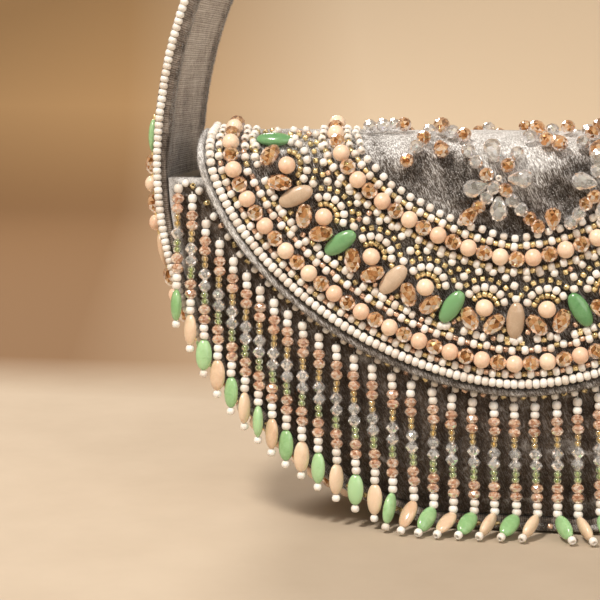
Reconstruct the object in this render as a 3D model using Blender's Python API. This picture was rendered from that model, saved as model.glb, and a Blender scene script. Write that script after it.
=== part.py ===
"""A half-moon velvet clutch: one stiff band is both gusset and handle, the flap carries rings of beads,
and a fringe of bead strands hangs from the front panel along the flap's edge.

Metres, +Z up. The flap faces -Y. The origin is on the surface that the clutch stands on, under its middle.
"""

import math

import bmesh
import bpy
from mathutils import Vector

# Clearance between pieces that are sewn together or rest on each other
SEAM_GAP = 0.0003

# Band: three strips, one inside the other, in a closed loop
BAND_RADIUS = 0.115
BAND_DEPTH = 0.052
BASE_HALF_WIDTH = 0.024
HANDLE_RISE = 0.1325
COVER_THICKNESS = 0.0012
STIFFENER_THICKNESS = 0.0014
FACING_THICKNESS = 0.0009
STIFFENER_MARGIN = 0.0015
LOOP_STEPS = 72
RIM_BEAD_RADIUS = 0.0014
RIM_SIDES = 4

# Beadwork on the band's outer face: a string of beads on each side of the bag, down in front, across and up behind.
# Degrees count down from the widest point of the bag.
SIDE_STRING_SPREAD = 0.019
SIDE_STRING_TOP_DEG = -7.0
SIDE_STRING_BOTTOM_DEG = 68.0
SIDE_STRING_REPEATS = 9
SIDE_STRING_HALF_WIDTH = 0.0028
SIDE_STRING_HALF_HEIGHT = 0.0024
SIDE_STRING_SIDES = 5
# Along one repeat: share of the repeat, share of the half width, share of the half height
SIDE_STRING_SHARES = (
    (0.00, 0.25, 0.35),
    (0.06, 0.70, 0.66),
    (0.16, 1.00, 0.78),
    (0.26, 0.70, 0.66),
    (0.32, 0.25, 0.35),
    (0.41, 0.80, 0.90),
    (0.50, 0.25, 0.35),
    (0.58, 0.88, 1.00),
    (0.66, 0.25, 0.35),
    (0.75, 0.80, 0.90),
    (0.84, 0.25, 0.35),
    (0.92, 0.88, 1.00),
)

# Panels and lining
PANEL_THICKNESS = 0.0025
PANEL_RECESS = 0.0005
PANEL_EDGE_ROUND = 0.001
MOUTH_DROP = 0.0025
LINING_THICKNESS = 0.0008
PANEL_STEPS = 36
CUT_OVERRUN = 0.002

# Flap: its edge is a superellipse, seen from the front. It hangs clear of the handle's inside at both sides.
FLAP_SIDE_GAP = 0.0101
FLAP_LENGTH = 0.0808
FLAP_EDGE_POWER = 1.76
FLAP_THICKNESS = 0.002
FLAP_STANDOFF = 0.003
RIDGE_RISE = 0.0122
FOLD_FORWARD = 0.006
SHOULDER_DROP = 0.012
SHOULDER_STEPS = 7
EDGE_STEPS = 18
BRIDGE_STEPS = 6
LAST_EDGE_DEG = 87.0

# Beadwork on the flap. An inset is how far a row lies inside the flap's edge.
PIPING_RADIUS = 0.001
EDGE_CORD_STEPS = 48
EDGE_CORD_SIDES = 4
EDGE_ROW_INSET = 0.0041
EDGE_ROW_RADIUS = 0.0014
ROUND_BEAD_RADIUS = 0.0026
RING_NECK_RADIUS = 0.0011
RING_SIDES = 5
OUTER_RING_INSET = 0.0107
OUTER_RING_BEADS = 55
INNER_RING_INSET = 0.043
INNER_RING_BEADS = 35
ROW_POWER_LOSS = 0.25
GARLAND_INSET = 0.025
GARLAND_OVALS = 11
GARLAND_HALF_WIDTH = 0.0054
GARLAND_HALF_HEIGHT = 0.0017
GARLAND_SIDES = 6
GARLAND_END = 0.005
# Along one repeat, from oval to oval: share of the repeat, share of the half width, share of the half height
GARLAND_SHARES = (
    (0.00, 1.00, 1.00),
    (0.12, 0.72, 0.85),
    (0.18, 0.20, 0.35),
    (0.30, 0.62, 0.95),
    (0.42, 0.22, 0.40),
    (0.50, 0.48, 1.00),
    (0.58, 0.22, 0.40),
    (0.70, 0.62, 0.95),
    (0.82, 0.20, 0.35),
    (0.88, 0.72, 0.85),
)

# Magnetic snap, hidden under the flap
MAGNET_RADIUS = 0.007
SOCKET_THICKNESS = 0.0012
STUD_THICKNESS = 0.0009
MAGNET_ABOVE_EDGE = 0.018
MAGNET_SIDES = 16

# Fringe: strands of beads, each ending in an oval drop and a seed bead
FRINGE_SIDE_MARGIN = 0.0085
HEADER_OFFSET = 0.0022
HEADER_SIDE_OFFSET = 0.004
HEADER_MARGIN = 0.0012
CHAIN_LENGTH = 0.0388
CHAIN_END_SHARE = 0.88
CHAIN_FLOOR_GAP = 0.0058
FACETED_RADIUS = 0.0019
DROP_LENGTH = 0.0097
DROP_RADIUS = 0.00215
END_BEAD_RADIUS = 0.00135
DROP_SIDE_SHARE = 0.5
STRAND_SIDES = 5
# From the middle strand out to the last one: share of the fringe's reach to that side
STRAND_SHARES = (
    *(0.000, 0.061, 0.122, 0.182, 0.242, 0.302, 0.361),
    *(0.418, 0.473, 0.527, 0.579, 0.627, 0.671, 0.713),
    *(0.754, 0.795, 0.836, 0.877, 0.918, 0.959, 1.000),
)
FRINGE_PER_SIDE = len(STRAND_SHARES) - 1
# Along the chain: share of its length, and radius as a share of a faceted bead's
CHAIN_SHARES = (
    (0.000, 0.34),
    (0.085, 0.80),
    (0.165, 0.50),
    (0.205, 1.00),
    (0.245, 0.60),
    (0.285, 1.00),
    (0.370, 0.52),
    (0.465, 1.03),
    (0.513, 0.60),
    (0.561, 1.03),
    (0.655, 0.52),
    (0.745, 1.00),
    (0.785, 0.60),
    (0.825, 1.00),
    (0.925, 0.77),
)
# Along the drop: share of its length, and share of its radius
DROP_SHARES = (
    (0.00, 0.32),
    (0.28, 0.88),
    (0.62, 1.00),
    (0.96, 0.34),
)

# Sizes that follow from those above
BAND_THICKNESS = COVER_THICKNESS + STIFFENER_THICKNESS + FACING_THICKNESS + 2 * SEAM_GAP
FLAP_HALF_WIDTH = BAND_RADIUS - BAND_THICKNESS - FLAP_SIDE_GAP
CENTRE_Z = math.sqrt(BAND_RADIUS**2 - BASE_HALF_WIDTH**2)
MOUTH_Z = CENTRE_Z - MOUTH_DROP
RIDGE_Z = CENTRE_Z + RIDGE_RISE
PANEL_INSET = BAND_THICKNESS + SEAM_GAP
PANEL_FACE = BAND_DEPTH / 2 - PANEL_RECESS
PANEL_BACK = PANEL_FACE - PANEL_THICKNESS
RIM_FACE = BAND_DEPTH / 2 + SEAM_GAP + 2 * RIM_BEAD_RADIUS
FLAP_FACE = PANEL_FACE + FLAP_STANDOFF + FLAP_THICKNESS
SHOULDER_REACH = FLAP_FACE - FOLD_FORWARD
FRINGE_REACH = BAND_RADIUS - FRINGE_SIDE_MARGIN


def make_material(name, colour, roughness, metallic=0.0):
    material = bpy.data.materials.new(name)
    material.use_nodes = True
    shader = material.node_tree.nodes["Principled BSDF"]
    shader.inputs["Base Color"].default_value = (*colour, 1)
    shader.inputs["Roughness"].default_value = roughness
    shader.inputs["Metallic"].default_value = metallic
    return material


def add_object(name, mesh_data, material, origin=(0, 0, 0)):
    """Links the closed mesh as an object with its faces pointing out and its origin at the given point."""
    bmesh.ops.recalc_face_normals(mesh_data, faces=mesh_data.faces)
    bmesh.ops.translate(mesh_data, verts=mesh_data.verts, vec=-Vector(origin))
    mesh = bpy.data.meshes.new(name)
    mesh_data.to_mesh(mesh)
    mesh_data.free()
    mesh.materials.append(material)
    mesh.shade_smooth()
    mesh.set_sharp_from_angle(angle=math.radians(40))
    item = bpy.data.objects.new(name, mesh)
    item.location = origin
    bpy.context.scene.collection.objects.link(item)
    return item


def loft(rings, closed=False):
    """Joins rings of equally many points, one after another. An open loft gets a cap at each end."""
    mesh_data = bmesh.new()
    rows = [[mesh_data.verts.new(point) for point in ring] for ring in rings]
    pairs = list(zip(rows, rows[1:]))
    if closed:
        pairs.append((rows[-1], rows[0]))
    for first, second in pairs:
        for j in range(len(first)):
            k = (j + 1) % len(first)
            mesh_data.faces.new((first[j], first[k], second[k], second[j]))
    if not closed:
        mesh_data.faces.new(rows[0])
        mesh_data.faces.new(rows[-1])
    return mesh_data


def oval_ring(centre, across, up, half_width, half_height, sides):
    """Points round an oval whose axes run along two unit vectors."""
    ring = []
    for j in range(sides):
        turn = math.tau * (j + 0.5) / sides
        ring.append(centre + across * (half_width * math.cos(turn)) + up * (half_height * math.sin(turn)))
    return ring


def loop_point(turn, inset, y):
    """A point on the band's loop, half a circle below and half an ellipse above, cut flat at the base."""
    rise = HANDLE_RISE if math.sin(turn) > 0 else BAND_RADIUS
    x = (BAND_RADIUS - inset) * math.cos(turn)
    z = CENTRE_Z + (rise - inset) * math.sin(turn)
    return Vector((x, y, max(z, inset)))


def loop_turns():
    return [math.tau * i / LOOP_STEPS for i in range(LOOP_STEPS)]


def band_strip(name, inset, thickness, half_depth, material):
    """One strip of the band, from an inset to that inset plus its thickness."""
    rings = []
    for turn in loop_turns():
        outer = [loop_point(turn, inset, y) for y in (-half_depth, half_depth)]
        inner = [loop_point(turn, inset + thickness, y) for y in (half_depth, -half_depth)]
        rings.append(outer + inner)
    return add_object(name, loft(rings, closed=True), material)


def make_band(velvet, core):
    half_depth = BAND_DEPTH / 2
    stiffener_inset = COVER_THICKNESS + SEAM_GAP
    facing_inset = stiffener_inset + STIFFENER_THICKNESS + SEAM_GAP
    band_strip("band_cover", 0, COVER_THICKNESS, half_depth, velvet)
    band_strip("band_stiffener", stiffener_inset, STIFFENER_THICKNESS, half_depth - STIFFENER_MARGIN, core)
    band_strip("band_facing", facing_inset, FACING_THICKNESS, half_depth, velvet)


def make_rim_beads(name, y, material):
    """The row of seed beads along one rim of the band, as a round cord."""
    inset = RIM_BEAD_RADIUS + SEAM_GAP
    rings = []
    for turn in loop_turns():
        centre = loop_point(turn, inset, y)
        outward = (loop_point(turn, 0, y) - loop_point(turn, BAND_THICKNESS, y)).normalized()
        rings.append(oval_ring(centre, outward, Vector((0, 1, 0)), RIM_BEAD_RADIUS, RIM_BEAD_RADIUS, RIM_SIDES))
    return add_object(name, loft(rings, closed=True), material)


def side_row(side):
    """Finely spaced (point, facing) pairs along a side string. side is -1 on the left and 1 on the right."""
    bend = SIDE_STRING_SPREAD / BAND_RADIUS
    top = math.radians(SIDE_STRING_TOP_DEG)
    straight = math.radians(SIDE_STRING_BOTTOM_DEG) - bend
    count = 300
    leg = [top + (straight - top) * i / count for i in range(count)]
    places = [(fall, -SIDE_STRING_SPREAD) for fall in leg]
    for i in range(count + 1):
        turn = math.pi * i / count
        places.append((straight + bend * math.sin(turn), -SIDE_STRING_SPREAD * math.cos(turn)))
    places += [(fall, SIDE_STRING_SPREAD) for fall in reversed(leg)]
    row = []
    for fall, y in places:
        turn = -fall if side > 0 else math.pi + fall
        surface = loop_point(turn, 0, y)
        facing = (surface - loop_point(turn, BAND_THICKNESS, y)).normalized()
        row.append((surface + facing * (SEAM_GAP + SIDE_STRING_HALF_HEIGHT), facing))
    return row


def make_side_string(name, side, material):
    """Oval, drop and round beads strung one after another on the band's outer face."""
    shares = []
    sizes = []
    for i in range(SIDE_STRING_REPEATS):
        for along_share, width_share, height_share in SIDE_STRING_SHARES:
            shares.append((i + along_share) / SIDE_STRING_REPEATS)
            sizes.append((SIDE_STRING_HALF_WIDTH * width_share, SIDE_STRING_HALF_HEIGHT * height_share))
    shares.append(1)
    sizes.append(sizes[0])
    return add_object(name, loft(row_rings(spaced(side_row(side), shares), sizes, SIDE_STRING_SIDES)), material)


def half_moon(inset, mouth_z, y):
    """Outline of a half moon inside the band, from one mouth corner round the bottom to the other."""
    radius = BAND_RADIUS - inset
    start = math.asin((CENTRE_Z - mouth_z) / radius)
    points = []
    for i in range(PANEL_STEPS + 1):
        turn = -start - (math.pi - 2 * start) * i / PANEL_STEPS
        points.append(loop_point(turn, inset, y))
    return points


def make_panel(name, side, material):
    """A half-moon side of the bag, rounded where its face meets its edge. side is -1 in front and 1 behind."""
    rings = [
        half_moon(PANEL_INSET, MOUTH_Z, side * PANEL_BACK),
        half_moon(PANEL_INSET, MOUTH_Z, side * (PANEL_FACE - PANEL_EDGE_ROUND)),
        half_moon(PANEL_INSET + PANEL_EDGE_ROUND, MOUTH_Z - PANEL_EDGE_ROUND, side * PANEL_FACE),
    ]
    return add_object(name, loft(rings), material)


def make_lining(material):
    """An open-topped pouch between the panels."""
    half_depth = PANEL_BACK - SEAM_GAP
    outline = [half_moon(PANEL_INSET, MOUTH_Z, y) for y in (-half_depth, half_depth)]
    pouch = add_object("lining_pouch", loft(outline), material)
    inner_depth = half_depth - LINING_THICKNESS
    inner = []
    for y in (-inner_depth, inner_depth):
        points = half_moon(PANEL_INSET + LINING_THICKNESS, MOUTH_Z, y)
        lift = Vector((0, 0, CUT_OVERRUN))
        inner.append([points[0] + lift, *points, points[-1] + lift])
    cutter = add_object("lining_hollow", loft(inner), material)
    cutter.hide_render = True
    cutter.display_type = "WIRE"
    cut = pouch.modifiers.new("hollow", "BOOLEAN")
    cut.operation = "DIFFERENCE"
    cut.object = cutter
    return pouch


def flap_section(drop):
    """How far forward the flap's face is at a drop below the ridge, and which way it faces there."""
    if drop >= SHOULDER_DROP:
        return FLAP_FACE, Vector((0, -1, 0))
    height = 1 - drop / SHOULDER_DROP
    reach = math.sqrt(1 - height**2)
    facing = Vector((0, -reach / SHOULDER_REACH, height / SHOULDER_DROP)).normalized()
    return FOLD_FORWARD + SHOULDER_REACH * reach, facing


def flap_edge_half_width(drop):
    share = min(drop / FLAP_LENGTH, 1)
    return FLAP_HALF_WIDTH * (1 - share**FLAP_EDGE_POWER) ** (1 / FLAP_EDGE_POWER)


def flap_edge_drop(x, offset):
    """How far below the ridge a line lies at x, where the line runs at an offset outside the flap's edge."""
    share = min(abs(x) / (FLAP_HALF_WIDTH + offset), 1)
    return (FLAP_LENGTH + offset) * (1 - share**FLAP_EDGE_POWER) ** (1 / FLAP_EDGE_POWER)


def flap_drops():
    """Drops below the ridge at which the flap has a station: evenly round the shoulder, then round the edge."""
    drops = []
    for i in range(SHOULDER_STEPS + 1):
        drops.append(SHOULDER_DROP * (1 - math.cos(math.pi / 2 * i / SHOULDER_STEPS)))
    first = math.asin((SHOULDER_DROP / FLAP_LENGTH) ** (FLAP_EDGE_POWER / 2))
    last = math.radians(LAST_EDGE_DEG)
    for i in range(1, EDGE_STEPS + 1):
        turn = first + (last - first) * i / EDGE_STEPS
        drops.append(FLAP_LENGTH * math.sin(turn) ** (2 / FLAP_EDGE_POWER))
    return drops


def make_flap_front(material):
    """The stiff front of the flap, from the fold at the ridge over the shoulder and down."""
    rings = []
    for drop in flap_drops():
        forward, facing = flap_section(drop)
        half_width = flap_edge_half_width(drop)
        gap = SEAM_GAP if drop == 0 else 0
        outer = Vector((half_width, -forward - gap, RIDGE_Z - drop))
        inner = outer - facing * FLAP_THICKNESS
        mirror = Vector((-1, 1, 1))
        rings.append([outer, outer * mirror, inner * mirror, inner])
    fold = (0, -FOLD_FORWARD, RIDGE_Z)
    return add_object("flap_front", loft(rings), material, fold)


def make_flap_bridge(material):
    """The soft top of the flap, from the back panel's top edge up to the ridge."""
    reach = FOLD_FORWARD + PANEL_FACE
    fall = RIDGE_Z - FLAP_THICKNESS - MOUTH_Z - SEAM_GAP
    rings = []
    for i in range(BRIDGE_STEPS + 1):
        share = i / BRIDGE_STEPS
        y = -FOLD_FORWARD + reach * share
        z = RIDGE_Z - fall * share**2
        points = []
        for x, top in ((1, z), (-1, z), (-1, z - FLAP_THICKNESS), (1, z - FLAP_THICKNESS)):
            points.append(Vector((x * FLAP_HALF_WIDTH, y, top)))
        rings.append(points)
    back_fold = (0, PANEL_FACE, MOUTH_Z + SEAM_GAP)
    return add_object("flap_bridge", loft(rings), material, back_fold)


def flap_row(inset, lift, end_drop):
    """Finely spaced (point, facing) pairs along a row inside the flap's edge, lifted off its face."""
    power = FLAP_EDGE_POWER - ROW_POWER_LOSS * inset / INNER_RING_INSET
    width = FLAP_HALF_WIDTH - inset
    length = FLAP_LENGTH - inset
    count = 400
    row = []
    for i in range(count + 1):
        turn = math.pi * i / count
        drop = length * max(math.sin(turn), 0) ** (2 / power)
        if drop < end_drop:
            continue
        x = -math.copysign(width * abs(math.cos(turn)) ** (2 / power), math.cos(turn))
        forward, facing = flap_section(drop)
        row.append((Vector((x, -forward, RIDGE_Z - drop)) + facing * lift, facing))
    return row


def spaced(row, shares):
    """(point, facing, along) at shares of the row's length, each share from 0 to 1 and rising."""
    lengths = [0.0]
    for (first, _), (second, _) in zip(row, row[1:]):
        lengths.append(lengths[-1] + (second - first).length)
    stations = []
    i = 0
    for share in shares:
        at = share * lengths[-1]
        while i < len(row) - 2 and lengths[i + 1] < at:
            i += 1
        part = (at - lengths[i]) / (lengths[i + 1] - lengths[i])
        point = row[i][0].lerp(row[i + 1][0], part)
        facing = row[i][1].lerp(row[i + 1][1], part).normalized()
        along = (row[i + 1][0] - row[i][0]).normalized()
        stations.append((point, facing, along))
    return stations


def row_rings(stations, sizes, sides):
    """Oval rings square to the row, one for each (half width, half height)."""
    rings = []
    for (point, facing, along), (half_width, half_height) in zip(stations, sizes):
        across = along.cross(facing).normalized()
        rings.append(oval_ring(point, across, facing, half_width, half_height, sides))
    return rings


def make_edge_cord(name, inset, radius, material):
    """A round cord along the flap's edge: the rolled velvet edge, and the dense row of seed beads inside it."""
    row = flap_row(inset, SEAM_GAP + radius, SEAM_GAP)
    stations = spaced(row, [i / EDGE_CORD_STEPS for i in range(EDGE_CORD_STEPS + 1)])
    sizes = [(radius, radius)] * len(stations)
    return add_object(name, loft(row_rings(stations, sizes, EDGE_CORD_SIDES)), material)


def make_bead_ring(name, inset, beads, material):
    """A strung row of round beads: each swells to its full radius between two narrow necks."""
    row = flap_row(inset, SEAM_GAP + ROUND_BEAD_RADIUS, SEAM_GAP)
    steps = 2 * beads
    stations = spaced(row, [i / steps for i in range(steps + 1)])
    sizes = []
    for i in range(steps + 1):
        radius = ROUND_BEAD_RADIUS if i % 2 else RING_NECK_RADIUS
        sizes.append((radius, radius))
    return add_object(name, loft(row_rings(stations, sizes, RING_SIDES)), material)


def make_garland(material):
    """Oval beads set across the row, with two slanting drops and a round bead between each two."""
    row = flap_row(GARLAND_INSET, SEAM_GAP + GARLAND_HALF_HEIGHT, GARLAND_END)
    repeats = GARLAND_OVALS - 1
    shares = []
    sizes = []
    for i in range(repeats):
        for along_share, width_share, height_share in GARLAND_SHARES:
            shares.append((i + along_share) / repeats)
            sizes.append((GARLAND_HALF_WIDTH * width_share, GARLAND_HALF_HEIGHT * height_share))
    shares.append(1)
    sizes.append(sizes[0])
    return add_object("vine_garland", loft(row_rings(spaced(row, shares), sizes, GARLAND_SIDES)), material)


def make_magnet_half(name, back, thickness, material):
    """A flat disc that stands on a plane facing forward, from one distance forward to another."""
    z = RIDGE_Z - FLAP_LENGTH + MAGNET_ABOVE_EDGE
    rings = []
    for forward in (back, back + thickness):
        centre = Vector((0, -forward, z))
        rings.append(oval_ring(centre, Vector((1, 0, 0)), Vector((0, 0, 1)), MAGNET_RADIUS, MAGNET_RADIUS, MAGNET_SIDES))
    return add_object(name, loft(rings), material)


def strand_top(index):
    """Where a strand is stitched to the front panel, farther from the flap's edge towards the sides.

    index runs from -FRINGE_PER_SIDE to FRINGE_PER_SIDE.
    """
    x = math.copysign(FRINGE_REACH * STRAND_SHARES[abs(index)], index)
    offset = HEADER_OFFSET + HEADER_SIDE_OFFSET * STRAND_SHARES[abs(index)] ** 4
    z = min(RIDGE_Z - flap_edge_drop(x, offset), MOUTH_Z - HEADER_MARGIN)
    header_radius = FACETED_RADIUS * CHAIN_SHARES[1][1]
    return Vector((x, -PANEL_FACE - SEAM_GAP - header_radius, z))


def strand_directions(index, top):
    """The chain's length and direction, and the drop's direction, which slants where it lies on the floor."""
    length = CHAIN_LENGTH
    if abs(index) == FRINGE_PER_SIDE:
        length *= CHAIN_END_SHARE
    length = min(length, top.z - CHAIN_FLOOR_GAP)
    lean = (RIM_FACE + SEAM_GAP + DROP_RADIUS + top.y) / length
    chain = Vector((0, -lean, -math.sqrt(1 - lean**2)))
    bottom = top + chain * length
    down = (bottom.z - END_BEAD_RADIUS - SEAM_GAP) / (DROP_LENGTH + END_BEAD_RADIUS)
    if down >= -chain.z:
        return length, chain, chain
    level = math.sqrt(1 - down**2)
    side = 0
    if index != 0:
        side = math.copysign(DROP_SIDE_SHARE * (level - lean), index)
    return length, chain, Vector((side, -math.sqrt(level**2 - side**2), -down))


def make_strand(index, material):
    """A strand as one turned form: seed and faceted beads, an oval drop and an end bead."""
    top = strand_top(index)
    length, chain, drop = strand_directions(index, top)
    bottom = top + chain * length
    end = bottom + drop * (DROP_LENGTH + END_BEAD_RADIUS)
    stops = [(top + chain * (length * share), chain, FACETED_RADIUS * width) for share, width in CHAIN_SHARES]
    stops += [(bottom + drop * (DROP_LENGTH * share), drop, DROP_RADIUS * width) for share, width in DROP_SHARES]
    stops += [(end, drop, END_BEAD_RADIUS)]
    stops += [(end + drop * END_BEAD_RADIUS * CHAIN_SHARES[1][1], drop, FACETED_RADIUS * CHAIN_SHARES[0][1])]
    rings = []
    for centre, along, radius in stops:
        across = Vector((1, 0, 0)) - along * along.x
        across.normalize()
        rings.append(oval_ring(centre, across, along.cross(across), radius, radius, STRAND_SIDES))
    name = f"fringe_{index + FRINGE_PER_SIDE:02d}"
    return add_object(name, loft(rings), material, top)


def make_clutch():
    for item in list(bpy.data.objects):
        bpy.data.objects.remove(item)
    velvet = make_material("taupe_velvet", (0.23, 0.20, 0.17), 0.85)
    core = make_material("core_board", (0.55, 0.50, 0.42), 0.8)
    satin = make_material("taupe_satin", (0.35, 0.31, 0.27), 0.5)
    seed = make_material("white_seed_beads", (0.86, 0.80, 0.72), 0.3)
    peach = make_material("peach_beads", (0.86, 0.55, 0.38), 0.3)
    amber = make_material("amber_beads", (0.70, 0.42, 0.24), 0.15)
    green = make_material("green_drops", (0.30, 0.60, 0.32), 0.2)
    beige = make_material("beige_drops", (0.80, 0.62, 0.46), 0.25)
    steel = make_material("snap_steel", (0.75, 0.74, 0.72), 0.3, 1.0)

    make_band(velvet, core)
    rim_y = BAND_DEPTH / 2 + SEAM_GAP + RIM_BEAD_RADIUS
    make_rim_beads("rim_beads_front", -rim_y, seed)
    make_rim_beads("rim_beads_back", rim_y, seed)
    make_side_string("side_string_left", -1, peach)
    make_side_string("side_string_right", 1, peach)
    make_panel("front_panel", -1, velvet)
    make_panel("back_panel", 1, velvet)
    make_lining(satin)
    make_flap_bridge(velvet)
    make_flap_front(velvet)
    make_edge_cord("flap_piping", PIPING_RADIUS, PIPING_RADIUS, velvet)
    make_edge_cord("edge_seed_row", EDGE_ROW_INSET, EDGE_ROW_RADIUS, seed)
    make_bead_ring("outer_bead_ring", OUTER_RING_INSET, OUTER_RING_BEADS, peach)
    make_bead_ring("inner_bead_ring", INNER_RING_INSET, INNER_RING_BEADS, amber)
    make_garland(beige)
    make_magnet_half("magnet_socket", PANEL_FACE + SEAM_GAP, SOCKET_THICKNESS, steel)
    stud_back = PANEL_FACE + FLAP_STANDOFF - SEAM_GAP - STUD_THICKNESS
    make_magnet_half("magnet_stud", stud_back, STUD_THICKNESS, steel)
    for index in range(-FRINGE_PER_SIDE, FRINGE_PER_SIDE + 1):
        make_strand(index, green if index % 2 == 0 else beige)


make_clutch()
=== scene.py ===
"""Looks of the beaded clutch: crushed velvet, sewn-on beadwork, a bead fringe, floor, light and camera."""

import math
import random

import bmesh
import bpy
import numpy as np
from mathutils import Matrix, Vector, noise


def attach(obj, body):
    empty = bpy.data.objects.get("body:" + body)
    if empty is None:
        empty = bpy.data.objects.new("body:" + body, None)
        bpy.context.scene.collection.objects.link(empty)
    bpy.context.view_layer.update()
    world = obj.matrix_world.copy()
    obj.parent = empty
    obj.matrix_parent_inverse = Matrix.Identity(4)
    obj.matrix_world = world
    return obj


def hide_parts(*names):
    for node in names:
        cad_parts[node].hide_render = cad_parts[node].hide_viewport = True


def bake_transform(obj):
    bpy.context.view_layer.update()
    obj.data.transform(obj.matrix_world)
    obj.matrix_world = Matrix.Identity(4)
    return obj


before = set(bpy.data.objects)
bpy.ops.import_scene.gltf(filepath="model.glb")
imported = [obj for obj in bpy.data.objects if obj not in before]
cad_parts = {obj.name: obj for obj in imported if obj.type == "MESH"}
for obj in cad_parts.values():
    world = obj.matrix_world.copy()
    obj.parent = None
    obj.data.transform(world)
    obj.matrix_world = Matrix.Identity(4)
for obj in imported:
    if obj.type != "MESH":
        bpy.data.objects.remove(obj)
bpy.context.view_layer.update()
rng = random.Random(11)
facet_chance = np.random.default_rng(3)

# Sizes of the part, as in its CAD source, in metres
SEAM_GAP = 0.0003
BAND_RADIUS = 0.115
BAND_DEPTH = 0.052
BASE_HALF_WIDTH = 0.024
HANDLE_RISE = 0.1325
BAND_THICKNESS = 0.0041
RIM_BEAD_RADIUS = 0.0014
SIDE_STRING_SPREAD = 0.019
SIDE_STRING_TOP_DEG = -7.0
SIDE_STRING_BOTTOM_DEG = 68.0
SIDE_STRING_REPEATS = 9
PANEL_THICKNESS = 0.0025
PANEL_RECESS = 0.0005
MOUTH_DROP = 0.0025
LINING_THICKNESS = 0.0008
FLAP_SIDE_GAP = 0.0101
FLAP_LENGTH = 0.0808
FLAP_EDGE_POWER = 1.76
FLAP_THICKNESS = 0.002
FLAP_STANDOFF = 0.003
RIDGE_RISE = 0.0122
FOLD_FORWARD = 0.006
SHOULDER_DROP = 0.012
PIPING_RADIUS = 0.001
ROUND_BEAD_RADIUS = 0.0026
OUTER_RING_INSET = 0.0107
OUTER_RING_BEADS = 55
INNER_RING_INSET = 0.043
INNER_RING_BEADS = 35
ROW_POWER_LOSS = 0.25
FRINGE_SIDE_MARGIN = 0.0085
HEADER_OFFSET = 0.0022
HEADER_SIDE_OFFSET = 0.004
HEADER_MARGIN = 0.0012
CHAIN_LENGTH = 0.0388
CHAIN_END_SHARE = 0.88
CHAIN_FLOOR_GAP = 0.0058
FACETED_RADIUS = 0.0019
HEADER_BEAD_SHARE = 0.80
DROP_LENGTH = 0.0097
DROP_RADIUS = 0.00215
END_BEAD_RADIUS = 0.00135
DROP_SIDE_SHARE = 0.5
STRAND_SHARES = (
    *(0.000, 0.061, 0.122, 0.182, 0.242, 0.302, 0.361),
    *(0.418, 0.473, 0.527, 0.579, 0.627, 0.671, 0.713),
    *(0.754, 0.795, 0.836, 0.877, 0.918, 0.959, 1.000),
)
FRINGE_PER_SIDE = len(STRAND_SHARES) - 1
CENTRE_Z = math.sqrt(BAND_RADIUS**2 - BASE_HALF_WIDTH**2)
MOUTH_Z = CENTRE_Z - MOUTH_DROP
RIDGE_Z = CENTRE_Z + RIDGE_RISE
PANEL_INSET = BAND_THICKNESS + SEAM_GAP
PANEL_FACE = BAND_DEPTH / 2 - PANEL_RECESS
PANEL_BACK = PANEL_FACE - PANEL_THICKNESS
RIM_Y = BAND_DEPTH / 2 + SEAM_GAP + RIM_BEAD_RADIUS
RIM_FACE = RIM_Y + RIM_BEAD_RADIUS
FLAP_HALF_WIDTH = BAND_RADIUS - BAND_THICKNESS - FLAP_SIDE_GAP
FLAP_FACE = PANEL_FACE + FLAP_STANDOFF + FLAP_THICKNESS
SHOULDER_REACH = FLAP_FACE - FOLD_FORWARD
FRINGE_REACH = BAND_RADIUS - FRINGE_SIDE_MARGIN

# Sizes that only the scene has
BRIDGE_REACH = FOLD_FORWARD + PANEL_FACE
BRIDGE_FALL = RIDGE_Z - FLAP_THICKNESS - MOUTH_Z - SEAM_GAP
BAND_STEPS = 520
RIM_BULGE = 0.0004
RIM_ROLL_WIDTH = 0.0026
RIM_ROLL_HEIGHT = 0.0007
PANEL_ROLL = 0.0012
PANEL_RINGS = 66
MOON_MIDDLE_DROP = 0.045
MOON_ARC_STEPS = 150
MOON_MOUTH_STEPS = 60
LINING_STEPS = 90
LINING_ROOM = 0.0002
EDGE_ROLL_RADIUS = 0.0011
SEAM_ROLL_RADIUS = 0.0009
RIM_VELVET_RADIUS = 0.00118
TUFT_RADIUS = 0.00007
EDGE_ROW_INSET = 0.0041
GARLAND_INSET = 0.0240
GARLAND_BALL_INSET = 0.0266
GARLAND_OVALS = 11
SCATTER_FROM, SCATTER_TO = 0.0165, 0.0405
STRAND_SEED = 0.00147
STRAND_CUT = 0.00199
STRAND_LEAN = 0.0014
STRAND_START = 0.02
OVAL_WIDE = 0.0026
OVAL_THIN = 0.0017
THREAD_RADIUS = 0.00018
STAGE_ROOM = 0.0002
CROWN_BEAD_RADIUS = 0.0021
SIDE_SEED_OFFSET = 0.0046
SIDE_SEED_LIMIT = 0.0208
# The direction that the flap and the fringe face
FRONT = Vector((0, -1, 0))

# Below this height the rims of the band show a roll of velvet in place of white beads
ROLL_TOP = 0.056
# How far each strand's flat drop is turned about its own length, from the middle of the bag to its sides
DROP_TURNS_DEG = (25, -50, 15, 55, -10, 40, -60, 20, 5, -45, 35, -28, 22, 42, 78, -72, 32, 18, -5, 42, 62)

# Spots of painted shade in the velvet field: pixel places in the photograph and their reach in metres
PAINTED_SHADE_SPOTS = (
    (578, 168, 0.0065), (568, 196, 0.006), (466, 176, 0.006), (448, 160, 0.005), (418, 160, 0.004),
    (520, 236, 0.006), (478, 232, 0.004), (548, 244, 0.005), (412, 176, 0.0035),
)
# Spots of painted highlight in the same field
PAINTED_HIGHLIGHT_SPOTS = (
    (384, 146, 0.0070), (404, 152, 0.0050), (372, 158, 0.0040), (502, 141, 0.0070), (520, 152, 0.0045),
    (548, 160, 0.0045), (560, 148, 0.0040), (592, 146, 0.0060), (436, 172, 0.0035),
)

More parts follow.
